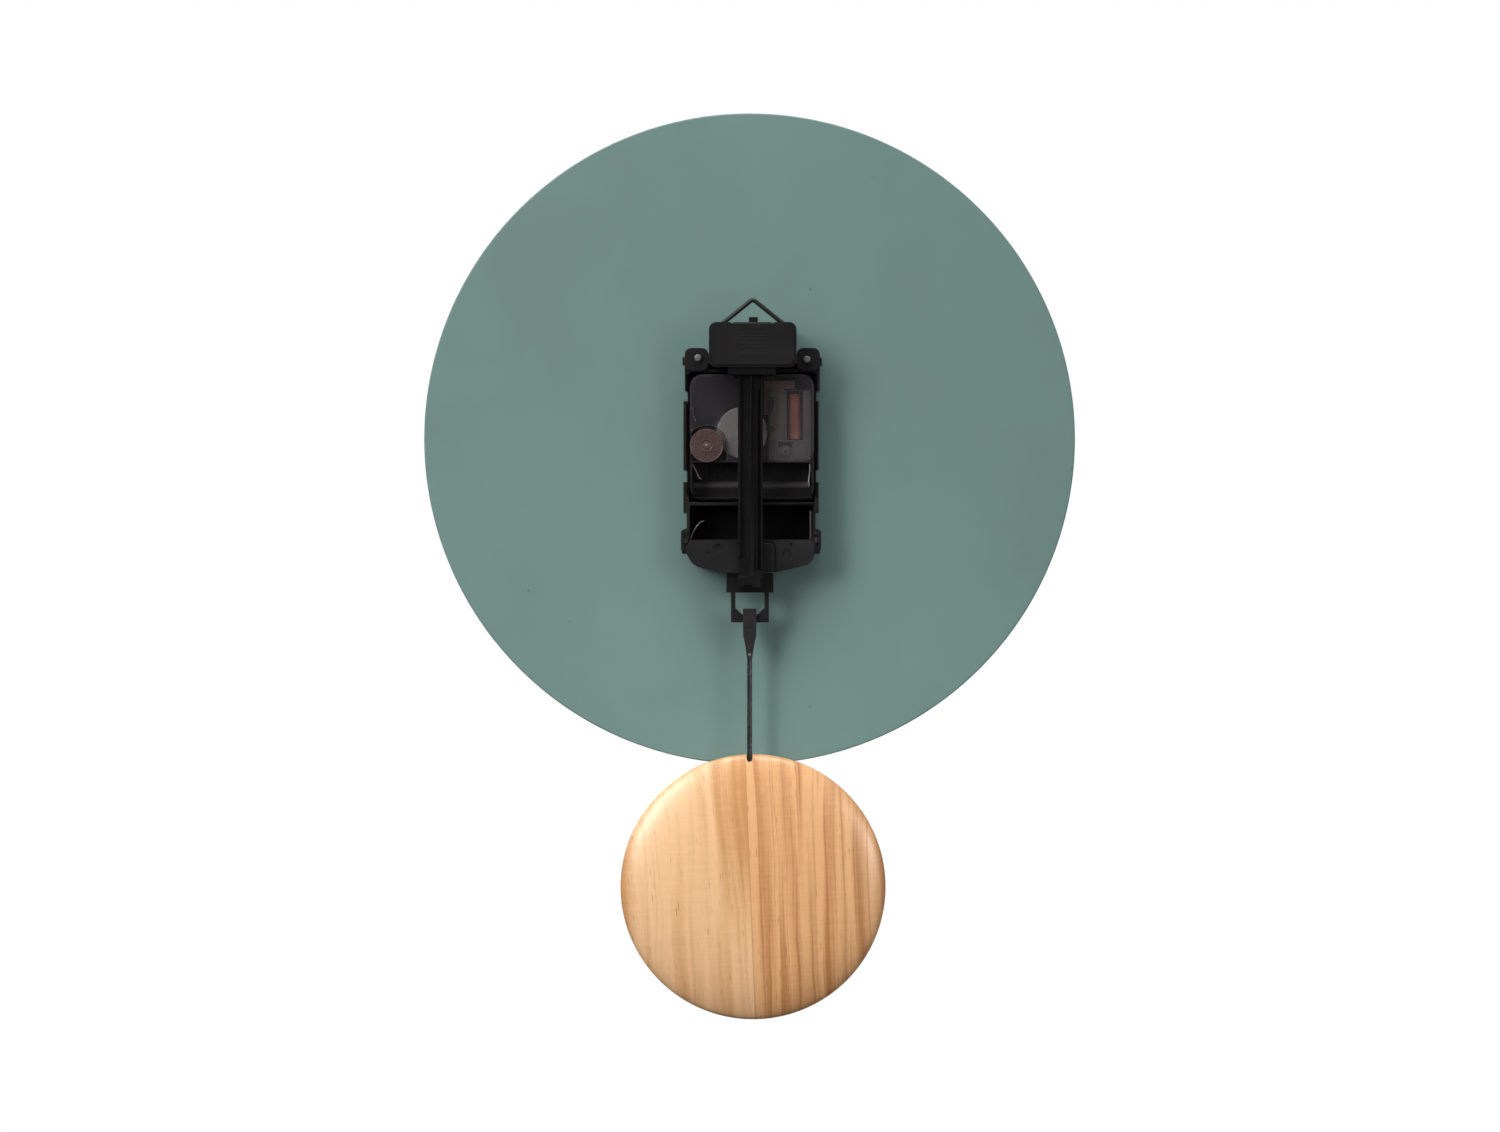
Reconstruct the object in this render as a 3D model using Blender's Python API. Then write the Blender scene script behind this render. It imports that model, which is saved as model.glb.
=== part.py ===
"""Pendulum wall clock: a round painted dial, a quartz movement in a moulded carrier, and a wooden bob.

Sizes below are millimetres from the hand axis (x, z) and from the dial's back face (y, growing
towards the wall). The finished objects are in metres, with the origin at the inner apex of the
hanging loop. The dial faces -Y and the wall is on the +Y side.
"""
import math

import bmesh
import bpy
from mathutils import Matrix, Vector

METRE = 0.001
GAP = 0.35

# Dial and the hardware that clamps it.
DIAL_RADIUS = 150.0
DIAL_THICKNESS = 4.0
TUBE_RADIUS = 4.0
TUBE_BORE = 3.0
TUBE_FRONT = -9.5
NUT_FLATS = 12.0

# Quartz module, a standard case about 56 mm square.
MODULE_RIGHT = 27.3
MODULE_LEFT = -29.5
MODULE_TOP = 28.85
MODULE_BOTTOM = -28.5
MODULE_FRONT = 2.8
MODULE_FLOOR = 4.0
MODULE_RIM = 15.6
MODULE_WALL = 1.2
COVER_FRONT = 15.9
COVER_BACK = 17.1
COVER_EDGE = -11.3
BAY_WALL = 1.1

# Carrier that holds the module, the pendulum pivot and the drive unit.
CARRIER_FRONT = 1.3
CARRIER_FLOOR = 2.5
CARRIER_RIM = 15.0
EAR_RIM = 16.5
PIVOT_BLOCK_RIM = 19.0
CAP_LEFT = -21.3
CAP_RIGHT = 18.4
CAP_BOTTOM = 31.55
CAP_TOP = 51.95
CAP_WALL = 1.1
CAP_FRONT = 12.0
CAP_BACK = 27.0

# Pendulum.
SWING_X = -0.9
SWING_Z = 41.8
ARM_FRONT = 18.8
ARM_BACK = 22.4
YOKE_FRONT = 11.7
YOKE_BACK = 13.1
BAR_TOP = -80.8
BAR_BOTTOM = -84.45
ROD_RADIUS = 1.15
ROD_Y = 12.4
ROD_TOP = -89.0
ROD_END = -170.0
BOB_X = -1.6
BOB_Z = -205.3
BOB_RADIUS = 60.6
BOB_HALF_DEPTH = 8.6
BOB_RIM_HALF_DEPTH = 4.0

# Hanging loop, a flat wire bent to a shallow V.
LOOP_WIDTH = 2.1
LOOP_FRONT = 19.35
LOOP_BACK = 21.35
LOOP_APEX_Z = 62.2
LOOP_INNER_APEX_Z = 60.9
ORIGIN = Vector((0.0, (LOOP_FRONT + LOOP_BACK) / 2, LOOP_INNER_APEX_Z))

# Gear train: tooth counts and axis places.
ROTOR_TEETH = 10
INTERMEDIATE_TEETH = 50
INTERMEDIATE_PINION = 6
SECONDS_TEETH = 36
SECONDS_PINION = 6
THIRD_TEETH = 45
THIRD_PINION = 6
CENTRE_TEETH = 48
CENTRE_PINION = 12
MINUTE_TEETH = 36
MINUTE_PINION = 8
HOUR_TEETH = 32
IDLER_TEETH = 21
KNOB_TEETH = 22
CENTRE_AXIS = (0.0, 0.0)
KNOB_AXIS = (19.6, -3.8)
INTERMEDIATE_DISTANCE = 4.19
ROTOR_DISTANCE = 13.6
THIRD_DISTANCE = 6.375
MINUTE_DISTANCE = 6.8
SETTING_MODULE = 2 * MINUTE_DISTANCE / (CENTRE_PINION + MINUTE_TEETH)
ARBOR_RADIUS = 0.35
SOCKET_RADIUS = 0.7


def polar(centre, distance, degrees):
    """Point at a distance and an angle from a centre, in the plane of the dial."""
    angle = math.radians(degrees)
    return centre[0] + distance * math.cos(angle), centre[1] + distance * math.sin(angle)


def meet(first, first_distance, second, second_distance):
    """Lower of the two points that lie at the given distances from two centres."""
    across = second[0] - first[0]
    rise = second[1] - first[1]
    span = math.hypot(across, rise)
    along = (first_distance ** 2 - second_distance ** 2 + span ** 2) / (2 * span)
    height = math.sqrt(first_distance ** 2 - along ** 2)
    base_x = first[0] + along * across / span
    base_z = first[1] + along * rise / span
    options = [(base_x + side * height * rise / span, base_z - side * height * across / span)
               for side in (-1, 1)]
    return min(options, key=lambda point: point[1])


INTERMEDIATE_AXIS = polar(CENTRE_AXIS, INTERMEDIATE_DISTANCE, 34.4)
ROTOR_AXIS = polar(INTERMEDIATE_AXIS, ROTOR_DISTANCE, 173.6)
THIRD_AXIS = polar(CENTRE_AXIS, THIRD_DISTANCE, 214.4)
MINUTE_AXIS = polar(CENTRE_AXIS, MINUTE_DISTANCE, -32.0)
IDLER_AXIS = meet(MINUTE_AXIS, SETTING_MODULE * (MINUTE_TEETH + IDLER_TEETH) / 2,
                  KNOB_AXIS, SETTING_MODULE * (IDLER_TEETH + KNOB_TEETH) / 2)


# ---------------------------------------------------------------- outlines

def arc(x, z, radius, start, end, count):
    """Points on a round stretch from one angle to another, in degrees."""
    return [polar((x, z), radius, start + (end - start) * step / count) for step in range(count + 1)]


def circle(x, z, radius, count=24):
    """Closed round outline."""
    return arc(x, z, radius, 0.0, 360.0, count)[:-1]


def rectangle(left, right, bottom, top):
    """Closed outline with square corners."""
    return [(left, bottom), (right, bottom), (right, top), (left, top)]


def rounded(left, right, bottom, top, radius, count=4):
    """Closed outline of a rectangle with round corners."""
    corners = ((right - radius, top - radius, 0), (left + radius, top - radius, 90),
               (left + radius, bottom + radius, 180), (right - radius, bottom + radius, 270))
    return [point for x, z, start in corners for point in arc(x, z, radius, start, start + 90, count)]


def ribbon(route, width):
    """Closed outline of a strip of even width that follows an open route."""
    sides = ([], [])
    for index, here in enumerate(route):
        before = Vector(route[max(index - 1, 0)])
        after = Vector(route[min(index + 1, len(route) - 1)])
        normals = []
        for start, end in ((before, Vector(here)), (Vector(here), after)):
            run = end - start
            if run.length > 0:
                normals.append(Vector((-run.y, run.x)).normalized())
        mean = sum(normals, Vector((0.0, 0.0))).normalized()
        reach = width / 2 / max(mean.dot(normals[0]), 0.3)
        for side, sign in zip(sides, (1, -1)):
            side.append(tuple(Vector(here) + mean * reach * sign))
    return sides[0] + sides[1][::-1]


def pitch(first_teeth, second_teeth, distance):
    """Tooth module of two wheels that mesh at an axis distance."""
    return 2 * distance / (first_teeth + second_teeth)


def wheel_teeth(centre, teeth, module, phase):
    """Pointed teeth of a large wheel."""
    step = 360.0 / teeth
    points = []
    for tooth in range(teeth):
        angle = phase + tooth * step
        points.append(polar(centre, module * (teeth / 2 + 0.8), angle))
        points.append(polar(centre, module * (teeth / 2 - 1.2), angle + step / 2))
    return points


def pinion_teeth(centre, teeth, module, phase):
    """Blunt teeth of a small pinion."""
    step = 360.0 / teeth
    root = module * (teeth / 2 - 1.2)
    tip = module * (teeth / 2 + 0.5)
    shape = ((-0.21, root), (-0.11, tip), (0.11, tip), (0.21, root))
    return [polar(centre, radius, phase + (tooth + share) * step)
            for tooth in range(teeth) for share, radius in shape]


def meshing_phase(first_axis, first_teeth, first_phase, second_axis, second_teeth):
    """Angle of a tooth on the second wheel that puts its gap where the first wheel's tooth is."""
    across = second_axis[0] - first_axis[0]
    rise = second_axis[1] - first_axis[1]
    bearing = math.degrees(math.atan2(rise, across))
    share = (bearing - first_phase) / (360.0 / first_teeth)
    return bearing + 180.0 + (share - 0.5) * 360.0 / second_teeth


# ---------------------------------------------------------------- solids

def mesh_object(bm, name="tool"):
    """Turn a bmesh into an object of the scene."""
    bmesh.ops.recalc_face_normals(bm, faces=bm.faces)
    mesh = bpy.data.meshes.new(name)
    bm.to_mesh(mesh)
    bm.free()
    item = bpy.data.objects.new(name, mesh)
    bpy.context.scene.collection.objects.link(item)
    return item


def prism(outline, start, end, axis="Y"):
    """Closed solid: an outline drawn across an axis and extruded along it."""
    place = {"Y": lambda u, v, w: (u, w, v), "Z": lambda u, v, w: (u, v, w),
             "X": lambda u, v, w: (w, u, v)}[axis]
    bm = bmesh.new()
    corners = [bm.verts.new(place(u, v, start)) for u, v in outline]
    bm.faces.new(corners)
    grown = bmesh.ops.extrude_face_region(bm, geom=bm.faces[:])
    moved = [item for item in grown["geom"] if isinstance(item, bmesh.types.BMVert)]
    bmesh.ops.translate(bm, verts=moved, vec=place(0.0, 0.0, end - start))
    return mesh_object(bm)


def box(left, right, front, back, bottom, top):
    """Closed block between three pairs of planes."""
    return prism(rectangle(left, right, bottom, top), front, back)


def rod(x, z, radius, front, back, count=16):
    """Closed round bar along the hand axis's direction."""
    return prism(circle(x, z, radius, count), front, back)


def turned(profile, x, z, count):
    """Closed solid turned about an axis along Y; the profile is (radius, y), ends on the axis."""
    bm = bmesh.new()
    rings = []
    for radius, depth in profile:
        if radius == 0.0:
            rings.append([bm.verts.new((x, depth, z))])
        else:
            rings.append([bm.verts.new((px, depth, pz)) for px, pz in circle(x, z, radius, count)])
    for lower, upper in zip(rings, rings[1:]):
        for index in range(count):
            after = (index + 1) % count
            corners = [lower[index % len(lower)], lower[after % len(lower)],
                       upper[after % len(upper)], upper[index % len(upper)]]
            bm.faces.new(list(dict.fromkeys(corners)))
    return mesh_object(bm)


def combine(body, add=(), cut=()):
    """Join solids to a body, then cut others from it, and keep the plain result."""
    tools = [(tool, "UNION") for tool in add] + [(tool, "DIFFERENCE") for tool in cut]
    for tool, operation in tools:
        modifier = body.modifiers.new(operation.title(), "BOOLEAN")
        modifier.operation = operation
        modifier.solver = "EXACT"
        modifier.object = tool
    graph = bpy.context.evaluated_depsgraph_get()
    graph.update()
    result = bpy.data.meshes.new_from_object(body.evaluated_get(graph))
    body.modifiers.clear()
    body.data = result
    for tool, _ in tools:
        bpy.data.objects.remove(tool)
    return body


def finish(item, name, material, pivot=(0.0, 0.0, 0.0)):
    """Name a solid, colour it, bring it to metres and put its origin on its pivot."""
    item.name = name
    item.data.name = name
    item.data.materials.clear()
    item.data.materials.append(material)
    centre = Vector(pivot)
    item.data.transform(Matrix.Scale(METRE, 4) @ Matrix.Translation(-centre))
    item.location = (centre - ORIGIN) * METRE
    item.data.shade_smooth()
    item.data.set_sharp_from_angle(angle=math.radians(30.0))
    return item


def finish_colour(name, colour, roughness, metallic=0.0, alpha=1.0):
    """One plain surface finish."""
    material = bpy.data.materials.new(name)
    material.use_nodes = True
    shader = material.node_tree.nodes["Principled BSDF"]
    shader.inputs["Base Color"].default_value = (*colour, 1.0)
    shader.inputs["Roughness"].default_value = roughness
    shader.inputs["Metallic"].default_value = metallic
    shader.inputs["Alpha"].default_value = alpha
    return material


def make_finishes():
    """Every surface finish of the clock by name."""
    return {
        "teal_paint": finish_colour("teal_paint", (0.155, 0.242, 0.230), 0.55),
        "black_plastic": finish_colour("black_plastic", (0.022, 0.020, 0.021), 0.42),
        "smoked_plastic": finish_colour("smoked_plastic", (0.035, 0.031, 0.033), 0.18, alpha=0.55),
        "white_plastic": finish_colour("white_plastic", (0.72, 0.70, 0.68), 0.45),
        "knob_plastic": finish_colour("knob_plastic", (0.042, 0.030, 0.030), 0.40),
        "black_wire": finish_colour("black_wire", (0.020, 0.018, 0.018), 0.38),
        "pin_steel": finish_colour("pin_steel", (0.42, 0.42, 0.41), 0.35, 1.0),
        "brass": finish_colour("brass", (0.62, 0.45, 0.20), 0.30, 1.0),
        "copper": finish_colour("copper", (0.40, 0.12, 0.06), 0.40, 0.6),
        "board": finish_colour("board", (0.075, 0.045, 0.035), 0.55),
        "contact_steel": finish_colour("contact_steel", (0.36, 0.35, 0.33), 0.32, 1.0),
        "rubber": finish_colour("rubber", (0.018, 0.018, 0.018), 0.85),
        "wood": finish_colour("wood", (0.60, 0.36, 0.18), 0.42),
        "hand_paint": finish_colour("hand_paint", (0.80, 0.78, 0.73), 0.45),
    }


# ---------------------------------------------------------------- dial and clamping hardware

def make_dial(finishes):
    """Painted disc with a hole for the movement's threaded tube."""
    disc = rod(0.0, 0.0, DIAL_RADIUS, -DIAL_THICKNESS, 0.0, 128)
    hole = rod(0.0, 0.0, TUBE_RADIUS + GAP, -DIAL_THICKNESS - 1, 1.0, 24)
    finish(combine(disc, cut=[hole]), "dial_disc", finishes["teal_paint"])


def make_gasket(finishes):
    """Rubber ring between the dial and the carrier."""
    ring = rod(0.0, 0.0, 11.0, 0.3, 1.0, 32)
    finish(combine(ring, cut=[rod(0.0, 0.0, TUBE_RADIUS + GAP, -1.0, 2.0, 24)]), "dial_gasket",
           finishes["rubber"])


def make_washer_and_nut(finishes):
    """Brass washer and hexagon nut on the threaded tube, in front of the dial."""
    front = -DIAL_THICKNESS
    washer = rod(0.0, 0.0, 7.5, front - 1.0, front - 0.3, 32)
    hole = rod(0.0, 0.0, TUBE_RADIUS + GAP, front - 2.0, front + 1.0, 24)
    finish(combine(washer, cut=[hole]), "shaft_washer", finishes["brass"])
    corner = NUT_FLATS / 2 / math.cos(math.radians(30.0))
    nut = rod(0.0, 0.0, corner, front - 3.8, front - 1.3, 6)
    hole = rod(0.0, 0.0, TUBE_RADIUS + GAP, front - 5.0, front, 24)
    finish(combine(nut, cut=[hole]), "shaft_nut", finishes["brass"])


# ---------------------------------------------------------------- carrier

def carrier_outline():
    """Outer profile of the carrier below its ears, with side rails, notches and latch bumps."""
    left = [(29.6, 34.0), (29.6, 21.7), (28.35, 21.2), (28.35, 16.7), (30.2, 16.7), (30.2, -14.8),
            (28.6, -14.8), (28.6, -20.3), (30.2, -20.3), (30.2, -34.5), (28.7, -34.5), (28.7, -41.3),
            (31.3, -42.6), (30.6, -45.2), (31.3, -47.8), (31.3, -51.2), (29.1, -52.4),
            (26.3, -57.3), (23.6, -59.1), (10.3, -61.9)]
    right = [(-12.1, -61.4), (-26.7, -58.2), (-29.4, -53.6), (-32.6, -51.2), (-32.6, -47.8),
             (-31.9, -45.2), (-32.6, -42.6), (-30.1, -41.3), (-30.1, -34.5), (-31.6, -34.5),
             (-31.6, -20.3), (-30.4, -20.3), (-30.4, -14.8), (-31.6, -14.8), (-31.6, 16.7),
             (-30.5, 16.7), (-30.5, 21.2), (-32.1, 21.7), (-32.1, 34.0)]
    return left + right


def make_carrier(finishes):
    """Moulded frame: seats the module, carries the pivot block and holds the pendulum drive."""
    body = prism(carrier_outline(), CARRIER_FRONT, CARRIER_RIM)
    ears = [prism(rounded(18.8, 29.6, 30.3, 40.85, 3.0), CARRIER_FRONT, EAR_RIM),
            prism(rounded(-32.1, -21.65, 30.3, 40.85, 3.0), CARRIER_FRONT, EAR_RIM)]
    tabs = [box(29.0, 30.7, 6.0, 11.0, 33.4, 37.0), box(-33.1, -31.5, 6.0, 11.0, 32.9, 36.6)]
    block = box(-19.7, 16.8, CARRIER_FRONT, PIVOT_BLOCK_RIM, 33.0, 50.3)
    over = CARRIER_RIM + 5.0
    seat = box(MODULE_LEFT - GAP, MODULE_RIGHT + GAP, CARRIER_FLOOR, over, -29.5, 29.3)
    bay = box(-28.6, 27.3, CARRIER_FLOOR, over, -46.7, -31.0)
    drive = box(-27.0, 26.0, CARRIER_FLOOR, over, -57.3, -47.7)
    drive_mouth = box(-24.5, 24.0, 8.3, over, -64.0, -50.0)
    tube_hole = rod(0.0, 0.0, TUBE_RADIUS + 1.2, 0.0, 5.0, 24)
    cap_room = box(CAP_LEFT - GAP, CAP_RIGHT + GAP, CAP_FRONT - GAP, EAR_RIM + 5.0, 30.9, 35.0)
    pin_hole = rod(SWING_X, SWING_Z, 1.6, 9.5, 25.0, 16)
    rivet_holes = [rod(x, z, 1.35, 8.0, 20.0, 12) for x, z in ((23.5, 36.2), (-26.2, 35.5))]
    shell = combine(body, add=[*ears, *tabs],
                    cut=[seat, bay, drive, drive_mouth, tube_hole, cap_room, *rivet_holes])
    finish(combine(shell, add=[block], cut=[pin_hole]), "carrier_frame", finishes["black_plastic"])


def make_rivets(finishes):
    """Two round-headed pins in the carrier's ears."""
    for name, x, z in (("ear_rivet_a", 23.5, 36.2), ("ear_rivet_b", -26.2, 35.5)):
        profile = [(0.0, 8.6), (1.0, 8.6), (1.0, 16.9), (1.65, 16.9), (1.5, 17.5), (0.8, 17.9), (0.0, 18.0)]
        finish(turned(profile, x, z, 16), name, finishes["pin_steel"], (x, 12.0, z))


def make_pivot_cap(finishes):
    """Cap over the pivot block, with slots for the hanging loop and an open foot for the arm."""
    body = prism(rounded(CAP_LEFT, CAP_RIGHT, CAP_BOTTOM, CAP_TOP, 3.2), CAP_FRONT, CAP_BACK)
    hollow = box(CAP_LEFT + CAP_WALL, CAP_RIGHT - CAP_WALL, CAP_FRONT - 1, CAP_BACK - 1.2,
                 CAP_BOTTOM + CAP_WALL, CAP_TOP - CAP_WALL)
    foot = box(-14.4, 12.4, CAP_FRONT - 1, CAP_BACK - 1.2, CAP_BOTTOM - 1.0, CAP_BOTTOM + 3.0)
    slots = [box(x - 3.3, x + 3.3, LOOP_FRONT - GAP, LOOP_BACK + GAP, CAP_TOP - 3.0, CAP_TOP + 1.0)
             for x in (11.9, -14.8)]
    finish(combine(body, cut=[hollow, foot, *slots]), "pivot_cover", finishes["black_plastic"])


def make_hanging_loop(finishes):
    """Flat wire bent to a V above the cap, its ends turned down behind it."""
    middle = -1.45
    half = 13.3
    route = [(middle + half + 1.5, 44.0), (middle + half + 1.5, 50.6), (middle + half - 0.2, 52.2)]
    route += arc(middle, LOOP_APEX_Z - 3.0, 3.0, 53.0, 127.0, 4)
    route += [(middle - half + 0.2, 52.2), (middle - half - 1.5, 50.6), (middle - half - 1.5, 44.0)]
    finish(prism(ribbon(route, LOOP_WIDTH), LOOP_FRONT, LOOP_BACK), "hanging_loop",
           finishes["black_wire"], (0.0, ORIGIN.y, ORIGIN.z))


def make_pivot_pin(finishes):
    """Steel pin that the pendulum arm swings on."""
    finish(rod(SWING_X, SWING_Z, 1.2, 10.0, 25.4), "pivot_pin", finishes["pin_steel"],
           (SWING_X, 17.7, SWING_Z))


# ---------------------------------------------------------------- quartz module

def make_module_case(finishes):
    """Open case with the threaded tube, the bearing holes and a cell bay below the movement."""
    body = prism(rounded(MODULE_LEFT, MODULE_RIGHT, MODULE_BOTTOM, MODULE_TOP, 6.0, 6),
                 MODULE_FRONT, MODULE_RIM)
    inner_left = MODULE_LEFT + MODULE_WALL
    inner_right = MODULE_RIGHT - MODULE_WALL
    room = prism(rounded(inner_left, inner_right, COVER_EDGE + 1.0, MODULE_TOP - MODULE_WALL, 4.8, 4),
                 MODULE_FLOOR, MODULE_RIM + 1.0)
    lower_room = box(inner_left, inner_right, MODULE_FLOOR, MODULE_RIM + 1.0, COVER_EDGE + 1.0, 0.0)
    bay = box(inner_left, inner_right, MODULE_FLOOR, MODULE_RIM + 1.0, MODULE_BOTTOM + BAY_WALL, -11.5)
    ledge = box(inner_left - 0.5, inner_right + 0.5, MODULE_FLOOR - 0.5, 5.6, MODULE_BOTTOM + 0.5, -21.0)
    tube = rod(0.0, 0.0, TUBE_RADIUS, TUBE_FRONT, MODULE_FLOOR - 0.2, 24)
    posts = [rod(x, z, 1.0, MODULE_FLOOR - 0.5, 7.65, 10) for x, z in ((12.0, 5.0), (-3.6, 8.8), (-1.5, -9.0))]
    stud = rod(*MINUTE_AXIS, ARBOR_RADIUS, MODULE_FLOOR - 0.5, 6.6, 8)
    shell = combine(body, add=[tube], cut=[room, lower_room, bay])
    bore = rod(0.0, 0.0, TUBE_BORE, TUBE_FRONT - 1.0, MODULE_FLOOR + 1.0, 24)
    holes = [rod(*axis, SOCKET_RADIUS, MODULE_FRONT - 1.0, MODULE_FLOOR + 1.0, 8)
             for axis in (THIRD_AXIS, IDLER_AXIS, KNOB_AXIS, ROTOR_AXIS)]
    finish(combine(shell, add=[ledge, *posts, stud], cut=[bore, *holes]), "module_case",
           finishes["black_plastic"])


def make_module_cover(finishes):
    """Smoked cover over the movement, cut away round the knob, with two bearing bosses."""
    body = prism(rounded(MODULE_LEFT, MODULE_RIGHT, COVER_EDGE, MODULE_TOP, 6.0, 6),
                 COVER_FRONT, COVER_BACK)
    knob_x, knob_z = KNOB_AXIS
    well_radius = 9.1
    round_end = arc(knob_x, knob_z, well_radius, 0.0, 180.0, 16)
    outer = [(knob_x - well_radius, COVER_EDGE - 2.0), (MODULE_RIGHT + 2.0, COVER_EDGE - 2.0),
             (MODULE_RIGHT + 2.0, knob_z)]
    well = prism(outer + round_end, COVER_FRONT - 1.0, COVER_BACK + 1.0)
    tray_left = knob_x - well_radius - 0.9
    tray_right = MODULE_RIGHT - MODULE_WALL - GAP
    tray_shape = ([(tray_left, COVER_EDGE + 1.4), (tray_right, COVER_EDGE + 1.4)]
                  + [point for point in arc(knob_x, knob_z, well_radius + 0.9, 0.0, 180.0, 16)
                     if point[0] <= tray_right])
    tray = prism(tray_shape, 12.4, COVER_FRONT + 0.5)
    inner_shape = [(knob_x - well_radius, COVER_EDGE - 2.0), (tray_right + 3.0, COVER_EDGE - 2.0),
                   (tray_right + 3.0, knob_z), *round_end]
    inner = prism(inner_shape, 13.2, COVER_BACK + 2.0)
    shaft_hole = rod(knob_x, knob_z, 1.8, 11.0, 15.0, 16)
    bosses = [rod(*axis, 1.3, 13.0, COVER_FRONT + 0.5, 12) for axis in (INTERMEDIATE_AXIS, ROTOR_AXIS)]
    sockets = [rod(*axis, SOCKET_RADIUS, 12.0, 15.6, 8) for axis in (INTERMEDIATE_AXIS, ROTOR_AXIS)]
    plate = combine(body, cut=[well])
    finish(combine(plate, add=[tray, *bosses], cut=[inner, shaft_hole, *sockets]), "module_cover",
           finishes["smoked_plastic"])


def make_middle_plate(finishes):
    """Plate between the motion work and the fast wheels, standing on the case's three posts."""
    outline = [(-7.4, -9.9), (16.2, -9.9), (16.2, 7.4), (13.6, 8.0), (-0.5, 10.4), (-5.2, 10.4),
               (-5.6, 7.0), (-5.6, -1.2), (-7.4, -1.2)]
    body = prism(outline, 8.0, 8.8)
    holes = [rod(0.0, 0.0, 1.95, 7.0, 10.0, 16),
             rod(*THIRD_AXIS, SOCKET_RADIUS, 7.0, 10.0, 8),
             rod(*INTERMEDIATE_AXIS, SOCKET_RADIUS, 7.0, 10.0, 8),
             rod(*IDLER_AXIS, SOCKET_RADIUS, 7.0, 10.0, 8)]
    finish(combine(body, cut=holes), "middle_plate", finishes["white_plastic"])


def make_circuit_board(finishes):
    """Small L-shaped board in the top corner of the module."""
    outline = [(-15.8, 10.6), (-6.6, 10.6), (-6.6, 26.0), (-20.6, 26.0), (-20.6, 22.4), (-15.8, 22.4)]
    finish(prism(outline, 11.6, 12.4), "circuit_board", finishes["board"])
    finish(prism(circle(-11.2, 13.75, 1.0, 12), 12.0, 18.5, "Z"), "quartz_crystal",
           finishes["pin_steel"])


def make_motor(finishes):
    """Stepping motor: bobbin, winding and stator."""
    middle = -20.6
    low, high = -1.0, 21.3
    flange = rounded(middle - 3.9, middle + 3.9, 4.4, 11.6, 1.2, 2)
    ends = [prism(flange, low, low + 1.2, "Z"), prism(flange, high - 1.2, high, "Z")]
    core = prism(rectangle(middle - 2.0, middle + 2.0, 6.6, 9.4), low + 0.5, high - 0.5, "Z")
    bore = prism(rectangle(middle - 1.4, middle + 1.4, 7.2, 8.8), low - 2.0, high + 2.0, "Z")
    finish(combine(core, add=ends, cut=[bore]), "coil_bobbin", finishes["black_plastic"])
    turns = prism(rounded(middle - 3.6, middle + 3.6, 4.7, 11.3, 2.6, 3), low + 1.6, high - 1.6, "Z")
    hollow = prism(rectangle(middle - 2.35, middle + 2.35, 6.25, 9.75), low, high, "Z")
    finish(combine(turns, cut=[hollow]), "coil_winding", finishes["copper"])
    bar = box(middle - 1.0, middle + 1.0, 7.6, 8.4, -3.6, 23.0)
    arm = box(middle - 1.0, -11.0, 7.6, 8.4, -3.6, -1.5)
    leg = prism([(-13.4, -3.6), (-9.0, -3.6), (-8.2, 2.0), (-12.6, 2.0)], 7.6, 8.4)
    ring = rod(*ROTOR_AXIS, 3.7, 7.6, 8.4, 20)
    hole = rod(*ROTOR_AXIS, 2.4, 6.0, 10.0, 16)
    finish(combine(bar, add=[arm, leg, ring], cut=[hole]), "stator", finishes["contact_steel"])


def arbor(axis, front, back, radius=ARBOR_RADIUS):
    """Thin axle of a wheel."""
    return rod(*axis, radius, front, back, 8)


def make_rotor(finishes):
    """Magnet and pinion of the stepping motor; returns the pinion's phase."""
    module = pitch(ROTOR_TEETH, INTERMEDIATE_TEETH, ROTOR_DISTANCE)
    teeth = prism(pinion_teeth(ROTOR_AXIS, ROTOR_TEETH, module, 0.0), 10.9, 12.0)
    magnet = rod(*ROTOR_AXIS, 1.9, 5.6, 9.2, 16)
    axle = arbor(ROTOR_AXIS, 3.1, 15.2)
    finish(combine(axle, add=[magnet, teeth]), "rotor", finishes["pin_steel"],
           (ROTOR_AXIS[0], 9.0, ROTOR_AXIS[1]))
    return 0.0


def make_intermediate_wheel(finishes, rotor_phase):
    """White wheel that takes the rotor's steps to the seconds wheel."""
    axis = INTERMEDIATE_AXIS
    phase = meshing_phase(ROTOR_AXIS, ROTOR_TEETH, rotor_phase, axis, INTERMEDIATE_TEETH)
    wheel_module = pitch(ROTOR_TEETH, INTERMEDIATE_TEETH, ROTOR_DISTANCE)
    pinion_module = pitch(INTERMEDIATE_PINION, SECONDS_TEETH, INTERMEDIATE_DISTANCE)
    wheel = prism(wheel_teeth(axis, INTERMEDIATE_TEETH, wheel_module, phase), 11.1, 11.8)
    teeth = prism(pinion_teeth(axis, INTERMEDIATE_PINION, pinion_module, 0.0), 9.9, 11.3)
    hub = rod(*axis, 1.6, 11.5, 12.6, 16)
    finish(combine(arbor(axis, 8.2, 15.2), add=[wheel, teeth, hub]), "intermediate_wheel",
           finishes["white_plastic"], (axis[0], 11.4, axis[1]))
    return 0.0


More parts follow.
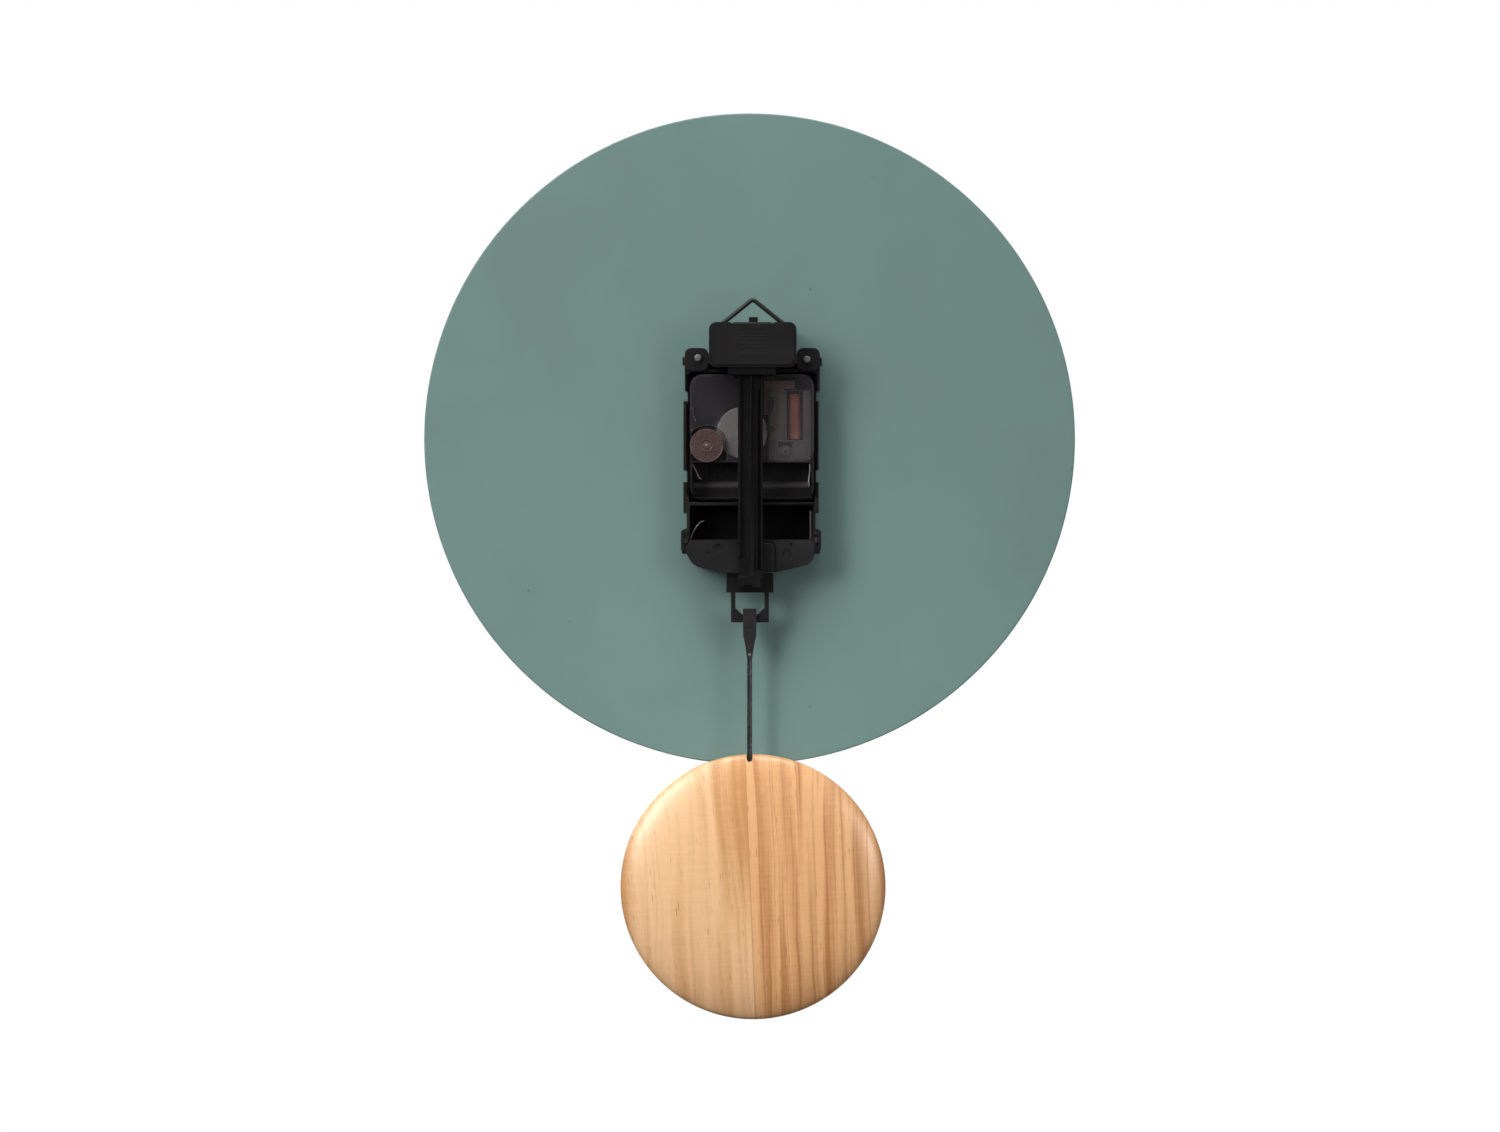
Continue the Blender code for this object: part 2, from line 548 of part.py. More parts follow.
def make_seconds_wheel(finishes, intermediate_phase):
    """Seconds wheel, its pinion and the long thin shaft of the second hand."""
    axis = CENTRE_AXIS
    phase = meshing_phase(INTERMEDIATE_AXIS, INTERMEDIATE_PINION, intermediate_phase, axis, SECONDS_TEETH)
    wheel_module = pitch(INTERMEDIATE_PINION, SECONDS_TEETH, INTERMEDIATE_DISTANCE)
    pinion_module = pitch(SECONDS_PINION, THIRD_TEETH, THIRD_DISTANCE)
    wheel = prism(wheel_teeth(axis, SECONDS_TEETH, wheel_module, phase), 10.1, 10.7)
    teeth = prism(pinion_teeth(axis, SECONDS_PINION, pinion_module, 0.0), 8.95, 10.3)
    shaft = rod(*axis, 0.45, -16.6, 9.5, 12)
    finish(combine(wheel, add=[teeth, shaft]), "seconds_wheel", finishes["white_plastic"],
           (0.0, 10.0, 0.0))
    return 0.0


def make_third_wheel(finishes, seconds_phase):
    """Wheel that slows the seconds pinion down for the centre wheel."""
    axis = THIRD_AXIS
    phase = meshing_phase(CENTRE_AXIS, SECONDS_PINION, seconds_phase, axis, THIRD_TEETH)
    wheel_module = pitch(SECONDS_PINION, THIRD_TEETH, THIRD_DISTANCE)
    pinion_module = pitch(THIRD_PINION, CENTRE_TEETH, THIRD_DISTANCE)
    wheel = prism(wheel_teeth(axis, THIRD_TEETH, wheel_module, phase), 9.1, 9.7)
    teeth = prism(pinion_teeth(axis, THIRD_PINION, pinion_module, 0.0), 6.6, 7.7)
    finish(combine(arbor(axis, 3.1, 10.0), add=[wheel, teeth]), "third_wheel",
           finishes["white_plastic"], (axis[0], 9.0, axis[1]))
    return 0.0


def make_centre_wheel(finishes, third_phase):
    """Centre wheel with the tube of the minute hand."""
    axis = CENTRE_AXIS
    phase = meshing_phase(THIRD_AXIS, THIRD_PINION, third_phase, axis, CENTRE_TEETH)
    wheel_module = pitch(THIRD_PINION, CENTRE_TEETH, THIRD_DISTANCE)
    pinion_module = pitch(CENTRE_PINION, MINUTE_TEETH, MINUTE_DISTANCE)
    wheel = prism(wheel_teeth(axis, CENTRE_TEETH, wheel_module, phase), 6.8, 7.5)
    teeth = prism(pinion_teeth(axis, CENTRE_PINION, pinion_module, 0.0), 5.55, 7.0)
    tube = rod(*axis, 1.3, -14.6, 8.4, 16)
    bore = rod(*axis, 0.85, -16.0, 10.0, 12)
    finish(combine(tube, add=[teeth, wheel], cut=[bore]), "centre_wheel", finishes["white_plastic"],
           (0.0, 7.0, 0.0))
    return 0.0


def make_minute_wheel(finishes, centre_phase):
    """Motion-work wheel on a stud of the case."""
    axis = MINUTE_AXIS
    phase = meshing_phase(CENTRE_AXIS, CENTRE_PINION, centre_phase, axis, MINUTE_TEETH)
    wheel_module = pitch(CENTRE_PINION, MINUTE_TEETH, MINUTE_DISTANCE)
    pinion_module = pitch(MINUTE_PINION, HOUR_TEETH, MINUTE_DISTANCE)
    wheel = prism(wheel_teeth(axis, MINUTE_TEETH, wheel_module, phase), 5.7, 6.5)
    teeth = prism(pinion_teeth(axis, MINUTE_PINION, pinion_module, 0.0), 4.3, 5.9)
    bore = rod(*axis, SOCKET_RADIUS, 3.0, 8.0, 8)
    finish(combine(wheel, add=[teeth], cut=[bore]), "minute_wheel", finishes["white_plastic"],
           (axis[0], 5.5, axis[1]))
    return phase, 0.0


def make_hour_wheel(finishes, pinion_phase):
    """Hour wheel with its pipe through the threaded tube."""
    axis = CENTRE_AXIS
    phase = meshing_phase(MINUTE_AXIS, MINUTE_PINION, pinion_phase, axis, HOUR_TEETH)
    module = pitch(MINUTE_PINION, HOUR_TEETH, MINUTE_DISTANCE)
    wheel = prism(wheel_teeth(axis, HOUR_TEETH, module, phase), 4.35, 5.2)
    pipe = rod(*axis, 2.6, -11.6, 5.0, 20)
    bore = rod(*axis, 1.95, -13.0, 7.0, 16)
    finish(combine(pipe, add=[wheel], cut=[bore]), "hour_wheel", finishes["white_plastic"],
           (0.0, 5.0, 0.0))


def make_setting_train(finishes, minute_phase):
    """Idler and setting knob that turn the minute wheel by hand."""
    idler_phase = meshing_phase(MINUTE_AXIS, MINUTE_TEETH, minute_phase, IDLER_AXIS, IDLER_TEETH)
    wheel = prism(wheel_teeth(IDLER_AXIS, IDLER_TEETH, SETTING_MODULE, idler_phase), 5.7, 6.5)
    finish(combine(arbor(IDLER_AXIS, 3.1, 8.6), add=[wheel]), "idler_wheel",
           finishes["white_plastic"], (IDLER_AXIS[0], 6.0, IDLER_AXIS[1]))
    knob_phase = meshing_phase(IDLER_AXIS, IDLER_TEETH, idler_phase, KNOB_AXIS, KNOB_TEETH)
    teeth = prism(wheel_teeth(KNOB_AXIS, KNOB_TEETH, SETTING_MODULE, knob_phase), 5.7, 6.5)
    shaft = rod(*KNOB_AXIS, 1.3, 6.3, 16.5, 16)
    head = rod(*KNOB_AXIS, 7.6, MODULE_RIM + GAP, 17.6, 40)
    hub = rod(*KNOB_AXIS, 2.4, 17.2, 18.1, 20)
    finish(combine(arbor(KNOB_AXIS, 3.1, 6.0), add=[teeth, shaft, head, hub]), "setting_knob",
           finishes["knob_plastic"], (KNOB_AXIS[0], 10.0, KNOB_AXIS[1]))


def make_gear_train(finishes):
    """Wheels from the rotor to the hour hand, each one set in mesh with the wheel before it."""
    rotor_phase = make_rotor(finishes)
    intermediate_phase = make_intermediate_wheel(finishes, rotor_phase)
    seconds_phase = make_seconds_wheel(finishes, intermediate_phase)
    third_phase = make_third_wheel(finishes, seconds_phase)
    centre_phase = make_centre_wheel(finishes, third_phase)
    minute_phase, minute_pinion_phase = make_minute_wheel(finishes, centre_phase)
    make_hour_wheel(finishes, minute_pinion_phase)
    make_setting_train(finishes, minute_phase)


def make_contacts(finishes):
    """Cell contacts: a bent leaf at each negative end and a flat plate at each positive end."""
    leaves = (
        ("module_negative_contact", [(25.6, -12.4), (25.6, -13.4), (22.9, -18.6), (24.0, -22.0),
                                     (25.6, -24.6), (25.6, -26.6)], 6.5, 13.0),
        ("drive_negative_contact", [(26.6, -46.2), (25.0, -45.4), (22.4, -41.6), (21.9, -38.4),
                                    (24.0, -34.6), (26.6, -33.6)], 5.0, 12.0),
    )
    for name, route, front, back in leaves:
        finish(prism(ribbon(route, 0.5), front, back), name, finishes["contact_steel"])
    finish(box(-27.9, -27.3, 6.2, 14.6, -26.8, -12.0), "module_positive_contact",
           finishes["contact_steel"])
    finish(box(-28.2, -27.6, 3.4, 14.2, -46.2, -33.4), "drive_positive_contact",
           finishes["contact_steel"])


# ---------------------------------------------------------------- pendulum drive and pendulum

def make_drive(finishes):
    """Cover, flat coil and board of the unit that keeps the pendulum swinging."""
    outline = [(27.2, -47.0), (29.0, -50.4), (28.6, -53.4), (26.3, -57.3), (23.6, -59.1), (10.3, -61.9),
               (-12.1, -61.4), (-26.7, -58.2), (-28.9, -55.6), (-29.6, -53.2), (-30.3, -49.1), (-28.5, -47.0)]
    finish(prism(outline, CARRIER_RIM + GAP, CARRIER_RIM + 1.5), "drive_cover",
           finishes["black_plastic"])
    coil = combine(rod(SWING_X, -52.5, 4.4, 4.4, 8.0, 24), cut=[rod(SWING_X, -52.5, 1.6, 3.0, 9.0, 12)])
    finish(coil, "drive_coil", finishes["copper"])
    finish(box(-24.0, 22.0, 2.85, 4.0, -57.0, -48.1), "drive_board", finishes["board"])


def make_arm(finishes):
    """Ribbed arm that hangs from the pivot pin and reaches forward at its foot."""
    pivot = (SWING_X, ARM_FRONT, SWING_Z)
    plate = box(-6.1, 5.3, ARM_FRONT, 20.2, -68.7, 31.0)
    head = box(-12.0, 9.8, 19.4, 24.8, 28.15, 45.6)
    flanges = [box(3.9, 5.3, 19.5, ARM_BACK, -55.0, 30.0), box(-6.1, -5.0, 19.5, ARM_BACK, -60.0, 30.0)]
    ridge = box(-0.75, 0.25, 19.5, ARM_BACK - 0.4, -64.0, -10.5)
    rib = box(-3.9, -3.3, 19.5, ARM_BACK - 0.8, -60.0, 22.0)
    foot = box(-5.2, 5.3, YOKE_BACK + GAP, 21.4, -68.7, -63.7)
    bore = rod(SWING_X, SWING_Z, 1.6, 17.0, 27.0, 16)
    slot = box(-1.5, 2.55, 20.4, 23.0, -69.5, -67.3)
    finish(combine(plate, add=[head, *flanges, ridge, rib, foot], cut=[bore, slot]), "pendulum_arm",
           finishes["black_plastic"], pivot)


def make_yoke(finishes):
    """Plate that carries the drive magnet and ends in a window with a bar for the rod's hook."""
    pivot = (SWING_X, YOKE_FRONT, SWING_Z)
    plate = box(-10.9, 10.6, YOKE_FRONT, YOKE_BACK, -70.8, -61.9)
    tongue = box(-5.6, 5.3, YOKE_FRONT, YOKE_BACK, -63.0, -49.6)
    frame = box(-8.85, 8.5, YOKE_FRONT, YOKE_BACK, BAR_BOTTOM, -70.5)
    window = [(6.45, -70.8), (6.45, -77.8), (3.3, BAR_TOP), (-3.6, BAR_TOP), (-6.8, -77.8), (-6.8, -70.8)]
    opening = prism(window, YOKE_FRONT - 1.0, YOKE_BACK + 1.0)
    finish(combine(plate, add=[tongue, frame], cut=[opening]), "rod_yoke", finishes["black_plastic"],
           pivot)
    finish(rod(SWING_X, -53.8, 4.0, 8.65, YOKE_FRONT - 0.3, 20), "swing_magnet",
           finishes["contact_steel"], (SWING_X, 10.0, SWING_Z))


def make_hook_and_rod(finishes):
    """Hook on the yoke's bar, the steel rod below it and the pin that holds the two together."""
    pivot = (0.0, ROD_Y, BAR_TOP + 0.15)
    body = box(-3.15, 3.0, 9.9, 14.9, -93.8, -78.05)
    tang = prism([(-3.15, -93.0), (3.0, -93.0), (1.2, -100.6), (-1.3, -100.6)], 9.9, 10.9)
    slot = box(-4.0, 4.0, YOKE_FRONT - 0.5, YOKE_BACK + 0.5, -87.6, BAR_TOP + 0.3)
    mouth = box(-4.0, 4.0, 8.0, YOKE_FRONT, -87.6, -84.6)
    bore = prism(circle(0.0, ROD_Y, ROD_RADIUS + GAP, 12), -95.0, ROD_TOP + 0.3, "Z")
    pin_hole = rod(0.0, -99.2, 0.7, 8.0, 12.0, 8)
    finish(combine(body, add=[tang], cut=[slot, mouth, bore, pin_hole]), "rod_hook",
           finishes["black_plastic"], pivot)
    steel = prism(circle(0.0, ROD_Y, ROD_RADIUS, 12), ROD_END, ROD_TOP, "Z")
    finish(combine(steel, cut=[rod(0.0, -99.2, 0.7, 8.0, 16.0, 8)]), "pendulum_rod",
           finishes["black_wire"], pivot)
    finish(rod(0.0, -99.2, 0.4, 9.6, 14.0, 8), "rod_rivet", finishes["pin_steel"], pivot)


def make_bob(finishes):
    """Lens-shaped wooden disc with a blind bore for the rod."""
    rings = 5
    profile = [(0.0, ROD_Y - BOB_HALF_DEPTH)]
    for step in range(1, rings + 1):
        share = step / rings
        depth = BOB_HALF_DEPTH - (BOB_HALF_DEPTH - BOB_RIM_HALF_DEPTH) * share ** 2.4
        profile.append((BOB_RADIUS * (0.30 + 0.68 * share), ROD_Y - depth))
    profile.append((BOB_RADIUS, ROD_Y - BOB_RIM_HALF_DEPTH + 1.4))
    mirrored = [(radius, 2 * ROD_Y - depth) for radius, depth in reversed(profile)]
    body = turned(profile + mirrored, BOB_X, BOB_Z, 72)
    bore = prism(circle(0.0, ROD_Y, ROD_RADIUS + GAP, 12), ROD_END - 0.5, BOB_Z + BOB_RADIUS + 5.0, "Z")
    pivot = (0.0, ROD_Y, BAR_TOP + 0.15)
    finish(combine(body, cut=[bore]), "bob_disc", finishes["wood"], pivot)


# ---------------------------------------------------------------- hands

def make_hand(name, finish_name, finishes, reach, tail, width, front, back, bore):
    """Plain tapered hand pointing up, with a round hub."""
    hub = rod(0.0, 0.0, bore + 2.2, front, back, 24)
    blade = prism([(-width / 2, -tail), (width / 2, -tail), (width / 2 * 0.55, reach),
                   (-width / 2 * 0.55, reach)], front, back)
    hole = rod(0.0, 0.0, bore, front - 1.0, back + 1.0, 16)
    finish(combine(hub, add=[blade], cut=[hole]), name, finishes[finish_name])


def make_hands(finishes):
    """Hour, minute and second hands and the nut that holds the minute hand."""
    make_hand("hour_hand", "hand_paint", finishes, 78.0, 16.0, 6.4, -11.2, -10.4, 2.9)
    make_hand("minute_hand", "hand_paint", finishes, 116.0, 20.0, 5.2, -13.3, -12.5, 1.65)
    make_hand("second_hand", "brass", finishes, 122.0, 34.0, 1.8, -16.4, -15.6, 0.8)
    nut = combine(rod(0.0, 0.0, 2.9, -14.6, -13.65, 16), cut=[rod(0.0, 0.0, 1.65, -16.0, -13.0, 16)])
    finish(nut, "minute_hand_nut", finishes["brass"])


def main():
    """Clear the scene and make every piece of the clock."""
    for item in list(bpy.data.objects):
        bpy.data.objects.remove(item)
    finishes = make_finishes()
    make_dial(finishes)
    make_gasket(finishes)
    make_washer_and_nut(finishes)
    make_carrier(finishes)
    make_rivets(finishes)
    make_pivot_cap(finishes)
    make_hanging_loop(finishes)
    make_pivot_pin(finishes)
    make_module_case(finishes)
    make_module_cover(finishes)
    make_middle_plate(finishes)
    make_circuit_board(finishes)
    make_motor(finishes)
    make_gear_train(finishes)
    make_contacts(finishes)
    make_drive(finishes)
    make_arm(finishes)
    make_yoke(finishes)
    make_hook_and_rod(finishes)
    make_bob(finishes)
    make_hands(finishes)


main()
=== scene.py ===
"""Looks of the pendulum wall clock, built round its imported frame.

Shapes are drawn in dial millimetres: x and z from the hand axis, y from the dial's back face and
growing towards the wall. Each sub-assembly is a class that draws its pieces, dresses them and lets
them ride on the body that carries them.
"""

import logging
import math
from dataclasses import dataclass, field
from enum import Enum
from typing import Callable, Iterable, Sequence

import bmesh
import bpy
from mathutils import Matrix, Vector


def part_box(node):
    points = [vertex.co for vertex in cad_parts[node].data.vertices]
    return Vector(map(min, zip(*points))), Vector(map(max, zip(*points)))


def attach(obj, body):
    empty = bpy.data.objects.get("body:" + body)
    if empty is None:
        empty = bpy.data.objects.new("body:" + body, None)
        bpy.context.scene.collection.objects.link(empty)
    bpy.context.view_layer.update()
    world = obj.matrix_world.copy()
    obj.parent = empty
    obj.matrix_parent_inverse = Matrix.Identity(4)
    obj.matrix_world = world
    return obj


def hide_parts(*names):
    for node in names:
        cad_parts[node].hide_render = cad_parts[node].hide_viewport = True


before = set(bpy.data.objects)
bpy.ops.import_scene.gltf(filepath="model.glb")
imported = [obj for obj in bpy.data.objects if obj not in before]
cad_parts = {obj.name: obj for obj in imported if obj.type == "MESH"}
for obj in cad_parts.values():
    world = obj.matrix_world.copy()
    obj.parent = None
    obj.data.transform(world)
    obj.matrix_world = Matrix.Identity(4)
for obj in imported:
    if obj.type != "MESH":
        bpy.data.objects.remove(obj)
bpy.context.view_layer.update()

log = logging.getLogger("clock")
MM = 0.001
COIL_PITCH, COIL_WIRE = 0.42, 0.23
ALONG_Y = -90.0
Point = tuple[float, float]
Colour = tuple[float, float, float]


class Body(str, Enum):
    """Bodies of the frame that pieces ride on."""

    CASE = "clock_case"
    PENDULUM = "pendulum"
    BOB = "rod_and_bob"
    SECONDS = "seconds"
    MINUTES = "minutes"
    HOURS = "hours"
    KNOB = "knob"
    INTERMEDIATE = "intermediate"


class Slot(str, Enum):
    """Material slots of the record."""

    PAINT = "teal_paint"
    BRASS = "brass"
    BLACK = "black_plastic"
    PIN = "pin_steel"
    WIRE = "black_wire"
    SMOKED = "smoked_plastic"
    WHITE = "white_plastic"
    BOARD = "board"
    COPPER = "copper"
    CONTACT = "contact_steel"
    KNOB = "knob_plastic"
    WOOD = "wood"
    HANDS = "hand_paint"


def dial_origin() -> Vector:
    """Hand axis on the dial's back face, in metres."""
    low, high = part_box("dial_disc")
    return Vector(((low.x + high.x) / 2, high.y, (low.z + high.z) / 2))


ORIGIN = dial_origin()
TO_METRES = Matrix.Translation(ORIGIN) @ Matrix.Scale(MM, 4)
TO_DIAL = TO_METRES.inverted()


@dataclass(frozen=True)
class Span:
    """Box of a frame node in dial millimetres."""

    x0: float
    x1: float
    y0: float
    y1: float
    z0: float
    z1: float

    @classmethod
    def of(cls, node: str) -> "Span":
        """Box of the named node."""
        low, high = (TO_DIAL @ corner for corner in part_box(node))
        return cls(low.x, high.x, low.y, high.y, low.z, high.z)

    @property
    def x(self) -> float:
        """Middle across."""
        return (self.x0 + self.x1) / 2

    @property
    def z(self) -> float:
        """Middle up."""
        return (self.z0 + self.z1) / 2


# ---------------------------------------------------------------- outlines


def polar(centre: Point, radius: float, degrees: float) -> Point:
    """Point at a distance and an angle from a centre."""
    angle = math.radians(degrees)
    return centre[0] + radius * math.cos(angle), centre[1] + radius * math.sin(angle)


def arc(centre: Point, radius: float, start: float, end: float, count: int) -> list[Point]:
    """Points on a round stretch from one angle to another, in degrees."""
    return [polar(centre, radius, start + (end - start) * step / count) for step in range(count + 1)]


def circle(centre: Point, radius: float, count: int = 32) -> list[Point]:
    """Closed round outline."""
    return arc(centre, radius, 0.0, 360.0, count)[:-1]


def rounded(x0: float, x1: float, z0: float, z1: float, radius: float, count: int = 6) -> list[Point]:
    """Closed outline of a rectangle with round corners."""
    corners = ((x1 - radius, z1 - radius, 0), (x0 + radius, z1 - radius, 90),
               (x0 + radius, z0 + radius, 180), (x1 - radius, z0 + radius, 270))
    return [p for x, z, turn in corners for p in arc((x, z), radius, turn, turn + 90, count)]


def ribbon(route: Sequence[Point], width: float) -> list[Point]:
    """Closed outline of a strip of even width along an open route.

    Args:
        route: Points along its middle.
        width: Width of the strip.

    Returns:
        One side and the other side back again.
    """
    sides: tuple[list[Point], list[Point]] = ([], [])
    points = [Vector(p) for p in route]
    for index, here in enumerate(points):
        runs = [b - a for a, b in ((points[max(index - 1, 0)], here),
                                   (here, points[min(index + 1, len(points) - 1)])) if (b - a).length]
        normals = [Vector((-run.y, run.x)).normalized() for run in runs]
        mean = sum(normals, Vector((0.0, 0.0))).normalized()
        reach = width / 2 / max(mean.dot(normals[0]), 0.4)
        for side, sign in zip(sides, (1, -1)):
            side.append(tuple(here + mean * reach * sign))
    return sides[0] + sides[1][::-1]


# ---------------------------------------------------------------- solids


def evaluated_mesh(item: bpy.types.Object) -> bpy.types.Mesh:
    """Plain mesh of an object with its modifiers."""
    graph = bpy.context.evaluated_depsgraph_get()
    graph.update()
    return bpy.data.meshes.new_from_object(item.evaluated_get(graph))


class Solid:
    """Shape in dial millimetres that is edited step by step."""

    def __init__(self, mesh: bpy.types.Mesh) -> None:
        """Hold a mesh as an object of the scene."""
        self.item = bpy.data.objects.new("shape", mesh)
        bpy.context.scene.collection.objects.link(self.item)

    @classmethod
    def from_bmesh(cls, bm: bmesh.types.BMesh) -> "Solid":
        """Close the sides, turn the faces outwards and keep the shape.

        Args:
            bm: Mesh in dial millimetres, which is used up.

        Returns:
            The solid.
        """
        bmesh.ops.remove_doubles(bm, verts=bm.verts, dist=1e-5)
        bmesh.ops.recalc_face_normals(bm, faces=bm.faces)
        mesh = bpy.data.meshes.new("shape")
        bm.to_mesh(mesh)
        bm.free()
        return cls(mesh)

    @classmethod
    def from_node(cls, node: str) -> "Solid":
        """Merged copy of a frame node, its flat faces whole again.

        Args:
            node: Name of the node.

        Returns:
            The copy in dial millimetres.
        """
        bm = bmesh.new()
        bm.from_mesh(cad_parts[node].data)
        bm.transform(TO_DIAL)
        bmesh.ops.remove_doubles(bm, verts=bm.verts, dist=0.002)
        bmesh.ops.dissolve_limit(bm, angle_limit=math.radians(0.6), verts=bm.verts, edges=bm.edges)
        mesh = bpy.data.meshes.new("shape")
        bm.to_mesh(mesh)
        bm.free()
        return cls(mesh)

    def _bake(self) -> "Solid":
        """Replace the mesh by what the modifiers make of it."""
        mesh = evaluated_mesh(self.item)
        self.item.modifiers.clear()
        self.item.data = mesh
        return self

    def _boolean(self, others: Iterable["Solid"], operation: str) -> "Solid":
        """Join or cut with other solids, which are used up.

        Args:
            others: The other solids.
            operation: UNION or DIFFERENCE.

        Returns:
            The same solid.
        """
        used = list(others)
        for other in used:
            modifier = self.item.modifiers.new(operation, "BOOLEAN")
            modifier.operation = operation
            modifier.solver = "EXACT"
            modifier.object = other.item
        self._bake()
        for other in used:
            bpy.data.objects.remove(other.item)
        return self

    def join(self, *others: "Solid") -> "Solid":
        """Union with other solids."""
        return self._boolean(others, "UNION")

    def cut(self, *others: "Solid") -> "Solid":
        """Take other solids away."""
        return self._boolean(others, "DIFFERENCE")

    def gather(self, *others: "Solid") -> "Solid":
        """Hold further shapes in the same mesh, each one closed in itself."""
        bm = bmesh.new()
        for solid in (self, *others):
            bm.from_mesh(solid.item.data)
        bm.to_mesh(self.item.data)
        bm.free()
        for other in others:
            bpy.data.objects.remove(other.item)
        return self

    @staticmethod
    def _roundable(bm: bmesh.types.BMesh, width: float, angle: float) -> list[bmesh.types.BMEdge]:
        """Sharp edges that leave room for a rounding.

        Args:
            bm: Mesh with the edges.
            width: Width of the rounding.
            angle: Least angle between two faces, in degrees.

        Returns:
            The edges; edges beside small details and edges of tight bends are left out.
        """
        sharp = {e for e in bm.edges
                 if len(e.link_faces) == 2 and e.calc_face_angle(0.0) > math.radians(angle)}
        cramped: set[bmesh.types.BMVert] = set()
        for vert in bm.verts:
            chain = [e for e in vert.link_edges if e in sharp]
            runs = [(e, (e.other_vert(vert).co - vert.co)) for e in vert.link_edges]
            if len(chain) == 2:
                first, second = ((e.other_vert(vert).co - vert.co) for e in chain)
                bend = math.pi - first.angle(second, math.pi)
                if 0.02 < bend < 0.9 and min(first.length, second.length) / bend < 2.2 * width:
                    cramped.add(vert)
                runs = [(e, run) for e, run in runs if e not in chain or bend > 0.9]
            if any(run.length < 2.1 * width for _, run in runs):
                cramped.add(vert)
        free = {e for e in sharp if not any(v in cramped for v in e.verts)}
        kept: list[bmesh.types.BMEdge] = []
        while free:
            group, queue = set(), [free.pop()]
            while queue:
                edge = queue.pop()
                group.add(edge)
                for vert in edge.verts:
                    for other in vert.link_edges:
                        if other in free:
                            free.discard(other)
                            queue.append(other)
            corners = [v.co for e in group for v in e.verts]
            reach = max(max(c[k] for c in corners) - min(c[k] for c in corners) for k in range(3))
            if reach > 4.0 * width:
                kept += sorted(group, key=lambda e: e.index)
        return kept

    @staticmethod
    def _folds(bm: bmesh.types.BMesh) -> list[Vector]:
        """Places where a face is folded over itself or over its neighbour.

        Args:
            bm: Mesh to look through.

        Returns:
            The corners and edge middles of such faces.
        """
        mesh = bpy.data.meshes.new("probe")
        bm.to_mesh(mesh)
        mesh.calc_loop_triangles()
        areas = [0.0] * len(mesh.polygons)
        for triangle in mesh.loop_triangles:
            areas[triangle.polygon_index] += triangle.area
        places = [mesh.vertices[corner].co.copy() for face in mesh.polygons
                  if areas[face.index] > 0.002 + face.area * (1.3 if len(face.vertices) < 5 else 1.01)
                  for corner in face.vertices]
        bpy.data.meshes.remove(mesh)
        places += [(e.verts[0].co + e.verts[1].co) / 2 for e in bm.edges
                   if len(e.link_faces) == 2 and e.calc_face_angle(0.0) > math.radians(140)]
        return places

    def soften(self, width: float, segments: int = 2, angle: float = 32.0) -> "Solid":
        """Round the edges that are sharper than an angle, as far as there is room.

        Args:
            width: Width of the rounding; a smaller one is taken where this one would fold a face.
            segments: Steps across the rounding.
            angle: Least angle between two faces, in degrees.

        Returns:
            The same solid.
        """
        tight: list[Vector] = []
        bm = bmesh.new()
        bm.from_mesh(self.item.data)
        known = self._folds(bm)
        bm.free()
        for attempt in range(15):
            offset = width * (1.0, 0.7, 0.45)[attempt // 5]
            bm = bmesh.new()
            bm.from_mesh(self.item.data)
            bmesh.ops.triangulate(bm, faces=[f for f in bm.faces if len(f.verts) > 8])
            bm.edges.index_update()
            edges = [e for e in self._roundable(bm, offset, angle)
                     if not any((v.co - place).length < 0.9 for v in e.verts for place in tight)]
            bmesh.ops.bevel(bm, geom=edges, offset=offset, segments=segments, profile=0.5,
                            affect="EDGES", clamp_overlap=False, miter_outer="ARC")
            folds = [place for place in self._folds(bm)
                     if not any((place - old).length < 0.5 for old in known)]
            if not folds:
                bm.to_mesh(self.item.data)
                bmesh.ops.dissolve_limit(bm, angle_limit=math.radians(0.4), verts=bm.verts,
                                         edges=bm.edges)
                if len(self._folds(bm)) <= len(known):
                    bm.to_mesh(self.item.data)
            bm.free()
            if not folds:
                break
            tight += folds
        else:
            log.warning("a shape keeps its sharp edges")
        return self


def prism(outline: Sequence[Point], start: float, end: float, axis: str = "Y") -> Solid:
    """Closed solid from an outline drawn across an axis.

    Args:
        outline: Points across the axis.
        start: Where it begins along the axis.
        end: Where it ends along the axis.
        axis: Y, Z or X.

    Returns:
        The extruded solid.
    """
    place: dict[str, Callable[[float, float, float], Point]] = {
        "Y": lambda u, v, w: (u, w, v), "Z": lambda u, v, w: (u, v, w), "X": lambda u, v, w: (w, u, v)}
    bm = bmesh.new()
    rings = [[bm.verts.new(place[axis](u, v, w)) for u, v in outline] for w in (start, end)]
    bm.faces.new(rings[0])
    bm.faces.new(rings[1])
    count = len(outline)
    for index in range(count):
        after = (index + 1) % count
        bm.faces.new((rings[0][index], rings[0][after], rings[1][after], rings[1][index]))
    return Solid.from_bmesh(bm)


def block(x0: float, x1: float, y0: float, y1: float, z0: float, z1: float) -> Solid:
    """Closed block between three pairs of planes."""
    return prism([(x0, z0), (x1, z0), (x1, z1), (x0, z1)], y0, y1)


def peg(centre: Point, radius: float, y0: float, y1: float, count: int = 32) -> Solid:
    """Closed round bar along y."""
    return prism(circle(centre, radius, count), y0, y1)


